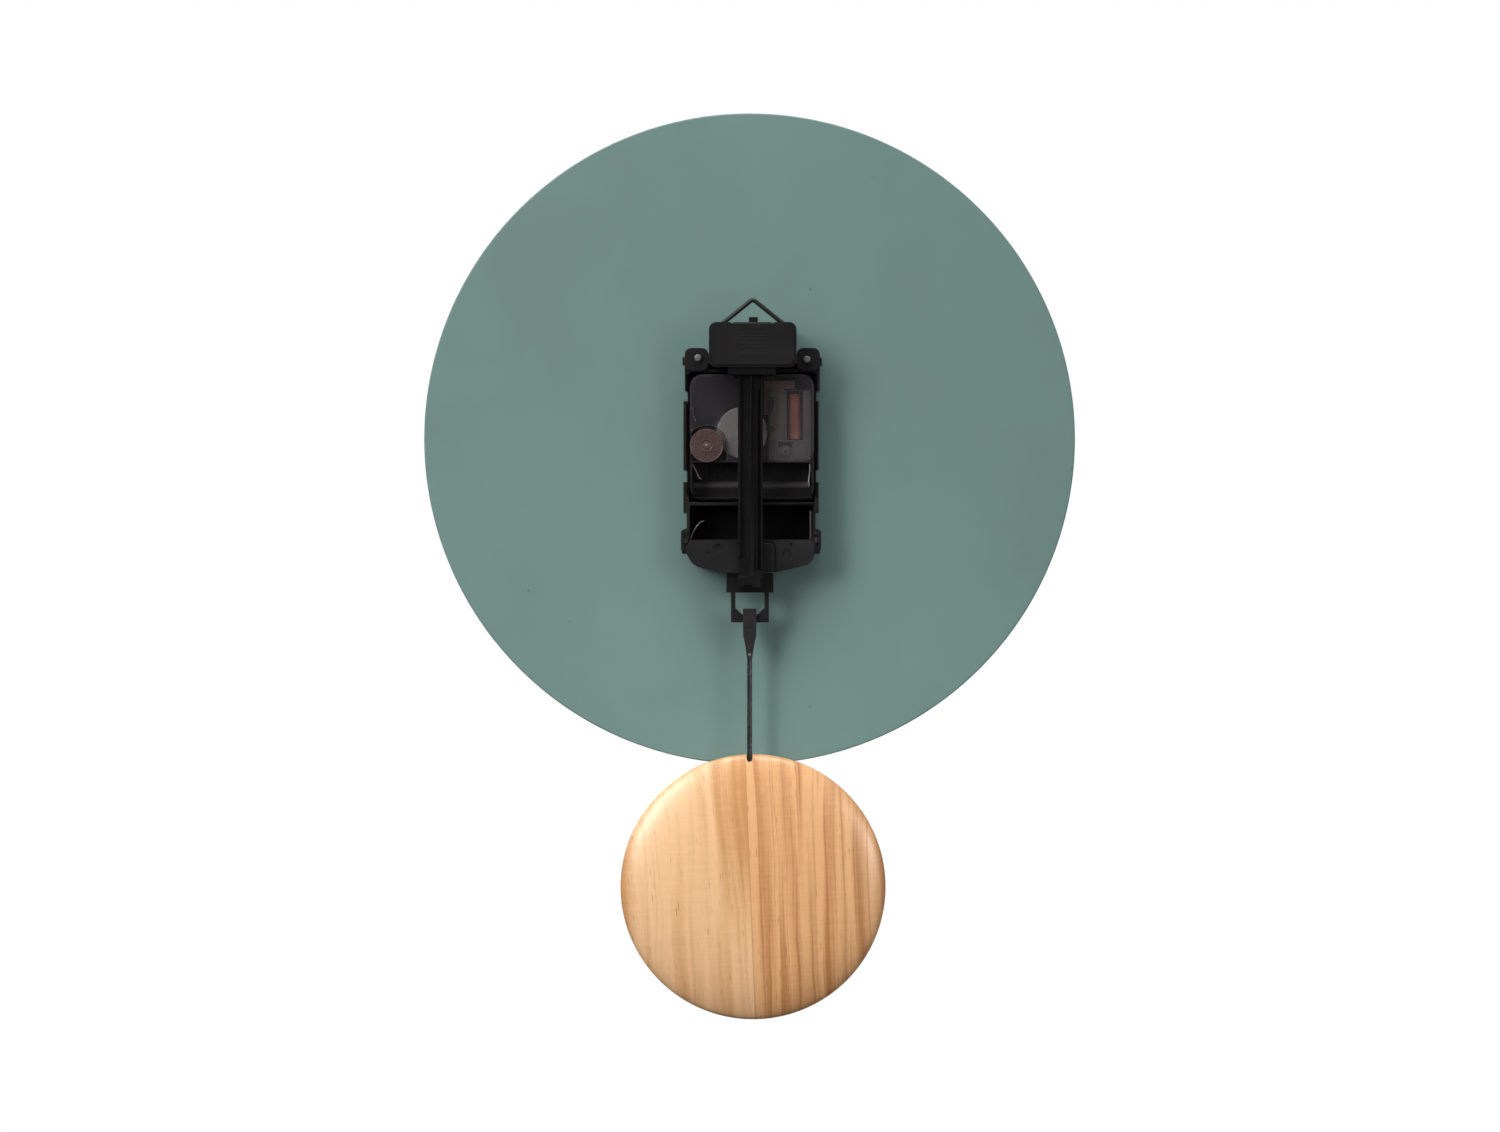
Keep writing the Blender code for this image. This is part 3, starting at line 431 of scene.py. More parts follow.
def turned(profile: Sequence[Point], centre: Point, count: int, closed: bool = False) -> Solid:
    """Solid turned about an axis along y.

    Args:
        profile: Pairs of radius and y, from one end to the other.
        centre: Place of the axis.
        count: Steps round the axis.
        closed: Whether the profile is a ring, as for a washer.

    Returns:
        The turned solid.
    """
    bm = bmesh.new()
    rings = [[bm.verts.new((centre[0], y, centre[1]))] if radius == 0.0 else
             [bm.verts.new((x, y, z)) for x, z in circle(centre, radius, count)]
             for radius, y in profile]
    pairs = list(zip(rings, rings[1:] + rings[:1])) if closed else list(zip(rings, rings[1:]))
    for lower, upper in pairs:
        for index in range(count):
            after = (index + 1) % count
            corners = [lower[index % len(lower)], lower[after % len(lower)],
                       upper[after % len(upper)], upper[index % len(upper)]]
            bm.faces.new(list(dict.fromkeys(corners)))
    return Solid.from_bmesh(bm)


# ---------------------------------------------------------------- node trees


class Web:
    """Node tree under construction, for shaders and for Geometry Nodes."""

    def __init__(self, tree: bpy.types.NodeTree) -> None:
        """Work on a tree."""
        self.tree = tree

    def add(self, kind: str, inputs: dict | None = None, **settings: object) -> bpy.types.Node:
        """Add a node.

        Args:
            kind: Blender's name of the node.
            inputs: Values or sockets by input name or number.
            settings: Properties of the node.

        Returns:
            The new node.
        """
        node = self.tree.nodes.new(kind)
        for name, value in settings.items():
            setattr(node, name, value)
        for name, value in (inputs or {}).items():
            if isinstance(value, bpy.types.NodeSocket):
                self.tree.links.new(value, node.inputs[name])
            else:
                node.inputs[name].default_value = value
        return node

    def maths(self, operation: str, first: object, second: object = 0.0,
              clamp: bool = False) -> bpy.types.NodeSocket:
        """Result of one sum on values."""
        return self.add("ShaderNodeMath", {0: first, 1: second}, operation=operation,
                        use_clamp=clamp).outputs[0]

    def blend(self, factor: object, first: object, second: object,
              mode: str = "MIX") -> bpy.types.NodeSocket:
        """Mix of two colours.

        Args:
            factor: Share of the second colour.
            first: Colour or socket.
            second: Colour or socket.
            mode: Way of mixing.

        Returns:
            The mixed colour.
        """
        node = self.add("ShaderNodeMix", data_type="RGBA", blend_type=mode)
        for index, value in ((0, factor), (6, first), (7, second)):
            if isinstance(value, bpy.types.NodeSocket):
                self.tree.links.new(value, node.inputs[index])
            else:
                node.inputs[index].default_value = value if index == 0 else (*value[:3], 1.0)
        return node.outputs[2]

    def spread(self, value: object, low: float, high: float, start: float = 0.0,
               end: float = 1.0) -> bpy.types.NodeSocket:
        """Value moved from one range to another and kept inside it."""
        return self.add("ShaderNodeMapRange", {"Value": value, "From Min": low, "From Max": high,
                                               "To Min": start, "To Max": end}).outputs["Result"]

    def noise(self, vector: object, scale: object, detail: float = 2.0,
              distortion: float = 0.0) -> bpy.types.NodeSocket:
        """Soft noise between 0 and 1."""
        return self.add("ShaderNodeTexNoise", {"Vector": vector, "Scale": scale, "Detail": detail,
                                               "Distortion": distortion}).outputs["Fac"]

    def group(self, tree: bpy.types.NodeTree, vector: bpy.types.NodeSocket,
              **values: object) -> bpy.types.Node:
        """Shared group on some coordinates, with its own values."""
        return self.add("ShaderNodeGroup", {"Vector": vector, **values}, node_tree=tree)

    def feed(self, shader: bpy.types.Node, **sockets: bpy.types.NodeSocket) -> None:
        """Link sockets to a shader's inputs; an underscore stands for a space."""
        for name, socket in sockets.items():
            self.tree.links.new(socket, shader.inputs[name.replace("_", " ")])

    def stretch(self, vector: object, scale: Sequence[float],
                turn: Sequence[float] = (0.0, 0.0, 0.0),
                shift: Sequence[float] = (0.0, 0.0, 0.0)) -> bpy.types.NodeSocket:
        """Coordinates scaled, turned and moved."""
        return self.add("ShaderNodeMapping", {"Vector": vector, "Scale": scale, "Rotation": turn,
                                              "Location": shift}).outputs[0]


def shared_group(name: str, inputs: dict[str, object], outputs: dict[str, str],
                 draw: Callable[[Web, dict[str, bpy.types.NodeSocket]], dict]) -> bpy.types.NodeTree:
    """Shader group with named sockets, built once.

    Args:
        name: Name of the group.
        inputs: Start value of each input; a tuple of three is a vector, of four a colour.
        outputs: Socket type of each output.
        draw: Adds the nodes and returns the socket for each output.

    Returns:
        The group's tree.
    """
    found = bpy.data.node_groups.get(name)
    if found:
        return found
    tree = bpy.data.node_groups.new(name, "ShaderNodeTree")
    for label, value in inputs.items():
        kind = ("NodeSocketFloat" if isinstance(value, float)
                else "NodeSocketColor" if len(value) == 4 else "NodeSocketVector")
        tree.interface.new_socket(name=label, in_out="INPUT", socket_type=kind).default_value = value
    for label, kind in outputs.items():
        tree.interface.new_socket(name=label, in_out="OUTPUT", socket_type=kind)
    web = Web(tree)
    entry = web.add("NodeGroupInput")
    results = draw(web, {label: entry.outputs[label] for label in inputs})
    web.add("NodeGroupOutput", results)
    return tree


def moulded_grain() -> bpy.types.NodeTree:
    """Fine texture of a moulded face, with slow clouds and sparse dust specks."""
    def draw(web: Web, given: dict) -> dict:
        """Texture, clouds and specks from noise and cells.

        Args:
            web: Web of the group.
            given: The group's input sockets.

        Returns:
            The socket for each output.
        """
        fine = web.noise(given["Vector"], given["Scale"], 3.0)
        cloud = web.noise(given["Vector"], web.maths("MULTIPLY", given["Scale"], 0.03), 4.0)
        cells = web.add("ShaderNodeTexVoronoi", {"Vector": given["Vector"],
                                                 "Scale": web.maths("MULTIPLY", given["Scale"], 0.12)})
        near = web.spread(cells.outputs["Distance"], 0.10, 0.05)
        chance = web.spread(web.add("ShaderNodeSeparateColor", {0: cells.outputs["Color"]}).outputs[0],
                            0.90, 0.93)
        return {"Height": fine, "Tone": cloud, "Speck": web.maths("MULTIPLY", near, chance)}

    return shared_group("moulded_grain", {"Vector": (0.0, 0.0, 0.0), "Scale": 2500.0},
                        {"Height": "NodeSocketFloat", "Tone": "NodeSocketFloat",
                         "Speck": "NodeSocketFloat"}, draw)


def settled_dust() -> bpy.types.NodeTree:
    """Mask of the thin dust that lies on faces turned upwards."""
    def draw(web: Web, given: dict) -> dict:
        """Patches of noise on the faces that look up.

        Args:
            web: Web of the group.
            given: The group's input sockets.

        Returns:
            The socket for each output.
        """
        normal = web.add("ShaderNodeNewGeometry").outputs["Normal"]
        up = web.spread(web.add("ShaderNodeSeparateXYZ", {0: normal}).outputs[2], 0.3, 1.0)
        patch = web.spread(web.noise(given["Vector"], 900.0, 5.0), 0.35, 0.75)
        return {"Mask": web.maths("MULTIPLY", web.maths("MULTIPLY", up, patch), given["Amount"])}

    return shared_group("settled_dust", {"Vector": (0.0, 0.0, 0.0), "Amount": 0.2},
                        {"Mask": "NodeSocketFloat"}, draw)


def drawn_streaks() -> bpy.types.NodeTree:
    """Fine streaks that drawing or brushing leaves along one direction of a metal."""
    def draw(web: Web, given: dict) -> dict:
        """Noise stretched along the drawing direction.

        Args:
            web: Web of the group.
            given: The group's input sockets.

        Returns:
            The socket for each output.
        """
        along = web.add("ShaderNodeVectorMath", {0: given["Vector"], 1: given["Stretch"]},
                        operation="MULTIPLY").outputs[0]
        return {"Height": web.noise(along, 1.0, 3.0), "Tone": web.noise(given["Vector"], 260.0, 4.0)}

    return shared_group("drawn_streaks", {"Vector": (0.0, 0.0, 0.0), "Stretch": (4000.0, 4000.0, 300.0)},
                        {"Height": "NodeSocketFloat", "Tone": "NodeSocketFloat"}, draw)


def board_grain() -> bpy.types.NodeTree:
    """Growth lines, fibres, resin flecks and planing ripple of one softwood board.

    The vector is in millimetres: x across the lines, y through the board and z along them.
    """
    def draw(web: Web, given: dict) -> dict:
        """Bands, lines, fibres and flecks, mixed into a colour and a height.

        Args:
            web: Web of the group.
            given: The group's input sockets.

        Returns:
            The socket for each output.
        """
        vector = given["Vector"]
        slow = web.noise(web.stretch(vector, (0.05, 0.05, 0.008)), 1.0, 3.0)
        parts = web.add("ShaderNodeSeparateXYZ", {0: vector})
        sway = web.maths("MULTIPLY", web.maths("SUBTRACT", slow, 0.5), given["Sway"])
        across = web.maths("ADD", parts.outputs[0], sway)
        lined = web.add("ShaderNodeCombineXYZ", {0: web.maths("DIVIDE", across, given["Spacing"]),
                                                 1: web.maths("MULTIPLY", parts.outputs[1], 0.02),
                                                 2: web.maths("MULTIPLY", parts.outputs[2], 0.006)})
        bands = web.noise(lined.outputs[0], 1.0, 1.0)
        fine_lined = web.stretch(lined.outputs[0], (3.4, 1.0, 1.4), shift=(7.0, 0.0, 3.0))
        lines = web.noise(fine_lined, 1.0, 2.0)
        fibre = web.noise(web.stretch(vector, (5.0, 1.0, 0.16)), 1.0, 3.0)
        band_mask = web.spread(bands, 0.42, 0.66)
        line_mask = web.maths("MULTIPLY", web.spread(lines, 0.53, 0.68), given["Lines"])
        fibre_mask = web.maths("MULTIPLY", web.spread(fibre, 0.5, 0.8), 0.35)
        dark = web.maths("ADD", web.maths("ADD", web.maths("MULTIPLY", band_mask, given["Bands"]),
                                          line_mask), fibre_mask, clamp=True)
        cells = web.add("ShaderNodeTexVoronoi", {"Vector": web.stretch(vector, (0.95, 0.3, 0.085)),
                                                 "Scale": 1.0, "Randomness": 1.0})
        near = web.spread(cells.outputs["Distance"], 0.24, 0.08)
        pick = web.spread(web.add("ShaderNodeSeparateColor", {0: cells.outputs["Color"]}).outputs[0],
                          0.55, 1.0)
        fleck = web.maths("MULTIPLY", web.maths("MULTIPLY", near, pick), given["Flecks"])
        crosswise = web.noise(web.stretch(vector, (0.10, 0.10, 0.85)), 1.0, 2.0)
        ripple = web.maths("MULTIPLY", web.maths("SUBTRACT", crosswise, 0.5), 0.30)
        shade = web.maths("ADD", dark, ripple, clamp=True)
        body = web.blend(shade, given["Pale"], given["Deep"])
        colour = web.blend(fleck, body, given["Resin"])
        height = web.maths("SUBTRACT", web.maths("MULTIPLY", fibre, 0.5),
                           web.maths("MULTIPLY", fleck, 0.6))
        return {"Colour": colour, "Height": height, "Dark": shade}

    return shared_group(
        "board_grain",
        {"Vector": (0.0, 0.0, 0.0), "Spacing": 9.0, "Sway": 14.0, "Bands": 0.7, "Lines": 0.4,
         "Flecks": 0.8, "Pale": (0.8, 0.5, 0.3, 1.0), "Deep": (0.5, 0.3, 0.1, 1.0),
         "Resin": (0.2, 0.1, 0.05, 1.0)},
        {"Colour": "NodeSocketColor", "Height": "NodeSocketFloat", "Dark": "NodeSocketFloat"}, draw)


def new_material(name: str) -> tuple[bpy.types.Material, Web, bpy.types.Node, bpy.types.NodeSocket]:
    """Material with its web, its shader and its object coordinates."""
    material = bpy.data.materials.new(name)
    material.use_nodes = True
    web = Web(material.node_tree)
    coordinates = web.add("ShaderNodeTexCoord").outputs["Object"]
    return material, web, material.node_tree.nodes["Principled BSDF"], coordinates


def set_plain(shader: bpy.types.Node, **values: float) -> None:
    """Set constants on a shader's own sockets; an underscore stands for a space."""
    for name, value in values.items():
        shader.inputs[name.replace("_", " ")].default_value = value


def link_bump(web: Web, shader: bpy.types.Node, height: object, strength: float, depth: float) -> None:
    """Feed a height into the shader's normal; the depth is in millimetres."""
    bump = web.add("ShaderNodeBump", {"Height": height, "Strength": strength, "Distance": depth * MM})
    web.tree.links.new(bump.outputs[0], shader.inputs["Normal"])


# ---------------------------------------------------------------- finishes


@dataclass(frozen=True)
class MouldedPlastic:
    """Moulded plastic with a fine eroded texture, clouds in its sheen and a little dust."""

    name: str
    colour: Colour
    roughness: float = 0.42
    grain: float = 0.25
    scale: float = 2600.0
    dust: float = 0.10
    lift: float = 1.35
    gloss: float = 0.25

    def make(self) -> bpy.types.Material:
        """Build the material."""
        material, web, shader, where = new_material(self.name)
        grain = web.group(moulded_grain(), where, Scale=self.scale)
        dust = web.group(settled_dust(), where, Amount=self.dust)
        paler = tuple(min(part * self.lift + 0.002, 1.0) for part in self.colour)
        body = web.blend(grain.outputs["Tone"], self.colour, paler)
        marked = web.blend(web.maths("MULTIPLY", grain.outputs["Speck"], 0.16), body, (0.16, 0.15, 0.14))
        web.feed(shader, Base_Color=web.blend(dust.outputs["Mask"], marked, (0.14, 0.13, 0.12)),
                 Roughness=web.spread(grain.outputs["Tone"], 0.3, 0.7, self.roughness - 0.06,
                                      self.roughness + 0.08))
        set_plain(shader, Specular_IOR_Level=self.gloss)
        link_bump(web, shader, grain.outputs["Height"], 1.0, self.grain * 0.06)
        return material


@dataclass(frozen=True)
class SatinPaint:
    """Sprayed paint with slow mottling, a fine orange-peel surface and a few specks."""

    name: str
    colour: Colour
    deeper: Colour
    roughness: float = 0.55
    peel: float = 0.012
    speck_scale: float = 900.0

    def make(self) -> bpy.types.Material:
        """Build the material."""
        material, web, shader, where = new_material(self.name)
        cloud = web.noise(where, 14.0, 5.0, 0.4)
        smear = web.noise(web.stretch(where, (30.0, 30.0, 9.0)), 1.0, 4.0)
        mottle = web.spread(web.maths("ADD", cloud, web.maths("MULTIPLY", smear, 0.35)), 0.48, 0.88)
        body = web.blend(mottle, self.colour, self.deeper)
        grain = web.group(moulded_grain(), where, Scale=self.speck_scale)
        specks = web.maths("MULTIPLY", grain.outputs["Speck"], 0.5)
        web.feed(shader, Base_Color=web.blend(specks, body, tuple(part * 0.45 for part in self.deeper)),
                 Roughness=web.spread(cloud, 0.3, 0.7, self.roughness - 0.04, self.roughness + 0.05))
        peel = web.maths("ADD", web.noise(where, 700.0, 2.0),
                         web.maths("MULTIPLY", grain.outputs["Height"], 0.4))
        link_bump(web, shader, peel, 0.6, self.peel)
        return material


@dataclass(frozen=True)
class SmokedPlastic:
    """See-through dark plastic with a gloss and faint flow lines."""

    name: str
    colour: Colour
    alpha: float = 0.22
    roughness: float = 0.24
    gloss: float = 0.3
    flow_scale: float = 1900.0

    def make(self) -> bpy.types.Material:
        """Build the material."""
        material, web, shader, where = new_material(self.name)
        grain = web.group(moulded_grain(), where, Scale=self.flow_scale)
        tone = grain.outputs["Tone"]
        body = web.blend(tone, self.colour, tuple(part * 1.5 for part in self.colour))
        specks = web.maths("MULTIPLY", grain.outputs["Speck"], 0.2)
        web.feed(shader, Base_Color=web.blend(specks, body, (0.20, 0.19, 0.20)),
                 Alpha=web.spread(tone, 0.35, 0.65, self.alpha - 0.03, self.alpha + 0.03),
                 Roughness=web.spread(tone, 0.3, 0.7, self.roughness - 0.05, self.roughness + 0.08))
        set_plain(shader, Specular_IOR_Level=self.gloss)
        link_bump(web, shader, grain.outputs["Height"], 1.0, 0.008)
        return material


@dataclass(frozen=True)
class PlatedMetal:
    """Drawn or turned metal with fine streaks and patches of tarnish."""

    name: str
    colour: Colour
    dull: Colour
    roughness: float = 0.32
    metallic: float = 1.0
    stretch: tuple[float, float, float] = (4200.0, 4200.0, 300.0)

    def make(self) -> bpy.types.Material:
        """Build the material."""
        material, web, shader, where = new_material(self.name)
        streaks = web.group(drawn_streaks(), where, Stretch=self.stretch)
        mask = web.spread(streaks.outputs["Tone"], 0.35, 0.75)
        web.feed(shader, Base_Color=web.blend(mask, self.colour, self.dull),
                 Roughness=web.spread(streaks.outputs["Height"], 0.3, 0.7, self.roughness - 0.07,
                                      self.roughness + 0.12))
        set_plain(shader, Metallic=self.metallic)
        link_bump(web, shader, streaks.outputs["Height"], 0.7, 0.006)
        return material


@dataclass(frozen=True)
class Enamel:
    """Glossy enamel on drawn wire, thinner on some turns than on others."""

    name: str
    colour: Colour
    bright: Colour
    roughness: float = 0.30
    metallic: float = 0.0
    coat: float = 0.5
    bands: tuple[float, float, float] = (200.0, 200.0, 200.0)

    def make(self) -> bpy.types.Material:
        """Build the material."""
        material, web, shader, where = new_material(self.name)
        tone = web.noise(web.stretch(where, self.bands), 1.0, 3.0)
        web.feed(shader, Base_Color=web.blend(web.spread(tone, 0.38, 0.68), self.colour, self.bright),
                 Roughness=web.spread(tone, 0.3, 0.7, self.roughness - 0.05, self.roughness + 0.10))
        set_plain(shader, Metallic=self.metallic, Coat_Weight=self.coat, Coat_Roughness=0.18)
        link_bump(web, shader, web.noise(where, 2400.0, 2.0), 0.6, 0.006)
        return material


@dataclass(frozen=True)
class CircuitLaminate:
    """Brown laminate with pale printed tracks under its varnish."""

    name: str
    colour: Colour
    track: Colour

    def make(self) -> bpy.types.Material:
        """Build the material."""
        material, web, shader, where = new_material(self.name)
        cells = web.add("ShaderNodeTexBrick", {
            "Vector": web.stretch(where, (1.0, 1.0, 1.0), (math.radians(90.0), 0.0, 0.0)),
            "Scale": 160.0, "Mortar Size": 0.10, "Mortar Smooth": 0.2, "Bias": 0.0,
            "Brick Width": 0.9, "Row Height": 0.35})
        cloud = web.noise(where, 320.0, 4.0)
        body = web.blend(cloud, self.colour, tuple(part * 1.5 for part in self.colour))
        tracks = web.maths("MULTIPLY", cells.outputs["Fac"], 0.35)
        web.feed(shader, Base_Color=web.blend(tracks, body, self.track),
                 Roughness=web.spread(cloud, 0.3, 0.7, 0.38, 0.55))
        link_bump(web, shader, cells.outputs["Fac"], 0.5, 0.02)
        return material


@dataclass(frozen=True)
class BoardTone:
    """Colours and line widths of one board of the bob."""

    pale: Colour
    deep: Colour
    spacing: float
    sway: float
    bands: float
    lines: float
    flecks: float
    lean: float
    shift: float


@dataclass(frozen=True)
class GluedPine:
    """Two softwood boards glued edge to edge under a satin lacquer."""

    name: str
    centre: tuple[float, float, float]
    lean: float
    first: BoardTone
    second: BoardTone
    offset: float = 1.3
    resin: Colour = (0.34, 0.125, 0.045)
    roughness: float = 0.36

    def board(self, web: Web, where: bpy.types.NodeSocket, tone: BoardTone) -> bpy.types.Node:
        """Grain group of one board, placed and turned on the bob.

        Args:
            web: Web of the material.
            where: Object coordinates in metres.
            tone: The board's colours and widths.

        Returns:
            The group's node.
        """
        turn = Matrix.Rotation(math.radians(tone.lean), 4, "Y")
        centre = Vector(self.centre) * 1000.0
        shift = -(turn @ centre) + Vector((tone.shift, 0.0, tone.shift * 3.0))
        vector = web.stretch(where, (1000.0,) * 3, (0.0, math.radians(tone.lean), 0.0), shift)
        return web.group(board_grain(), vector, Spacing=tone.spacing, Sway=tone.sway,
                         Bands=tone.bands, Lines=tone.lines, Flecks=tone.flecks,
                         Pale=(*tone.pale, 1.0), Deep=(*tone.deep, 1.0), Resin=(*self.resin, 1.0))

    def make(self) -> bpy.types.Material:
        """Build the material."""
        material, web, shader, where = new_material(self.name)
        turn = Matrix.Rotation(math.radians(self.lean), 4, "Y")
        shift = -(turn @ (Vector(self.centre) * 1000.0)) - Vector((self.offset, 0.0, 0.0))
        across = web.add("ShaderNodeSeparateXYZ", {0: web.stretch(
            where, (1000.0,) * 3, (0.0, math.radians(self.lean), 0.0), shift)}).outputs[0]
        side = web.spread(across, -0.06, 0.06)
        seam = web.spread(web.maths("ABSOLUTE", across), 0.32, 0.05)
        boards = [self.board(web, where, tone) for tone in (self.first, self.second)]
        colour = web.blend(side, boards[1].outputs["Colour"], boards[0].outputs["Colour"])
        glue = web.maths("MULTIPLY", seam, 0.42)
        dark = web.maths("ADD", boards[0].outputs["Dark"], boards[1].outputs["Dark"])
        web.feed(shader, Base_Color=web.blend(glue, colour, self.resin),
                 Roughness=web.spread(dark, 0.0, 2.0, self.roughness, self.roughness + 0.10))
        set_plain(shader, Coat_Weight=0.5, Coat_Roughness=0.30)
        height = web.maths("SUBTRACT", web.maths("ADD", boards[0].outputs["Height"],
                                                 boards[1].outputs["Height"]), seam)
        link_bump(web, shader, height, 0.8, 0.035)
        return material


class Palette:
    """Every finish of the clock, each one made when it is first asked for."""

    def __init__(self, bob_centre: Vector) -> None:
        """List the finishes.

        Args:
            bob_centre: Middle of the bob in metres, where the grain is centred.
        """
        self.plans: dict[str, object] = {
            "paint": SatinPaint("teal_paint_finish", (0.150, 0.252, 0.235), (0.136, 0.228, 0.214)),
            "black": MouldedPlastic("black_plastic_finish", (0.0072, 0.0063, 0.0069), 0.40, 0.30),
            "deep_black": MouldedPlastic("deep_black_plastic", (0.0046, 0.0041, 0.0046), 0.36, 0.20,
                                         dust=0.03, gloss=0.18),
            "hook_black": MouldedPlastic("hook_plastic", (0.0180, 0.0162, 0.0168), 0.34, 0.2,
                                         gloss=0.35),
            # painted shade: near-black matte plastic that darkens the inside of the drive cell's bay
            "painted_shade_black": MouldedPlastic("painted_shade_plastic", (0.0016, 0.0013, 0.0015), 0.60, 0.20, dust=0.0,
                                   gloss=0.05),
            "cover_black": MouldedPlastic("cover_plastic", (0.0085, 0.0078, 0.0082), 0.44, 0.45,
                                          scale=1900.0),
            "smoked": SmokedPlastic("smoked_plastic_finish", (0.056, 0.051, 0.057)),
            "smoked_edge": SmokedPlastic("smoked_edge_finish", (0.035, 0.033, 0.035), 0.70, 0.12, 1.0),
            "white": MouldedPlastic("white_plastic_finish", (0.42, 0.385, 0.38), 0.45, 0.15, lift=1.1),
            "grey": MouldedPlastic("grey_plastic", (0.085, 0.076, 0.076), 0.45, 0.2),
            # dark grey plastic of the middle plate; on the bay ledge strip its paleness is a painted
            # highlight
            "dark_grey": MouldedPlastic("dark_grey_plastic", (0.050, 0.047, 0.050), 0.5, 0.2),
            "knob": MouldedPlastic("knob_plastic_finish", (0.078, 0.047, 0.045), 0.38, 0.15, lift=1.2,
                                   gloss=0.4),
            "rubber": MouldedPlastic("rubber_finish", (0.012, 0.012, 0.012), 0.85, 0.5, dust=0.3),
            "wire": Enamel("black_wire_finish", (0.0055, 0.0048, 0.0055), (0.009, 0.008, 0.009), 0.42,
                           coat=0.05),
            "rod": Enamel("black_rod_finish", (0.0060, 0.0052, 0.0060), (0.010, 0.009, 0.010), 0.24,
                          coat=0.8),
            "copper": Enamel("copper_finish", (0.32, 0.088, 0.052), (0.50, 0.17, 0.11), 0.30, 0.25, 0.6,
                             (180.0, 180.0, 60.0)),
            "pin": PlatedMetal("pin_steel_finish", (0.17, 0.17, 0.165), (0.12, 0.12, 0.117), 0.46, 0.25),
            "tin": PlatedMetal("dull_tin", (0.10, 0.095, 0.09), (0.06, 0.058, 0.055), 0.45, 0.5),
            "contact": PlatedMetal("contact_steel_finish", (0.62, 0.59, 0.55), (0.40, 0.37, 0.34), 0.28),
            "dull_steel": PlatedMetal("dull_steel", (0.12, 0.115, 0.11), (0.08, 0.077, 0.073), 0.4, 0.6),
            "brass": PlatedMetal("brass_finish", (0.66, 0.48, 0.21), (0.48, 0.33, 0.14), 0.28),
            "board": CircuitLaminate("board_finish", (0.110, 0.062, 0.045), (0.20, 0.14, 0.10)),
            "motor_board": CircuitLaminate("motor_board_finish", (0.115, 0.088, 0.080),
                                           (0.17, 0.13, 0.11)),
            "hand": SatinPaint("hand_paint_finish", (0.80, 0.78, 0.73), (0.76, 0.74, 0.69), 0.42, 0.006),
            "wood": GluedPine(
                "wood_finish", tuple(bob_centre), -2.2,
                BoardTone((0.830, 0.520, 0.285), (0.570, 0.270, 0.095), 9.0, 12.0, 0.80, 0.35, 0.9,
                          -4.2, 17.0),
                BoardTone((0.760, 0.430, 0.205), (0.480, 0.195, 0.060), 5.0, 6.0, 0.70, 0.50, 0.9,
                          -2.4, -43.0)),
        }
        self.made: dict[str, bpy.types.Material] = {}

    def get(self, name: str) -> bpy.types.Material:
        """Material of a finish."""
        if name not in self.made:
            self.made[name] = self.plans[name].make()
        return self.made[name]


# ---------------------------------------------------------------- grown pieces


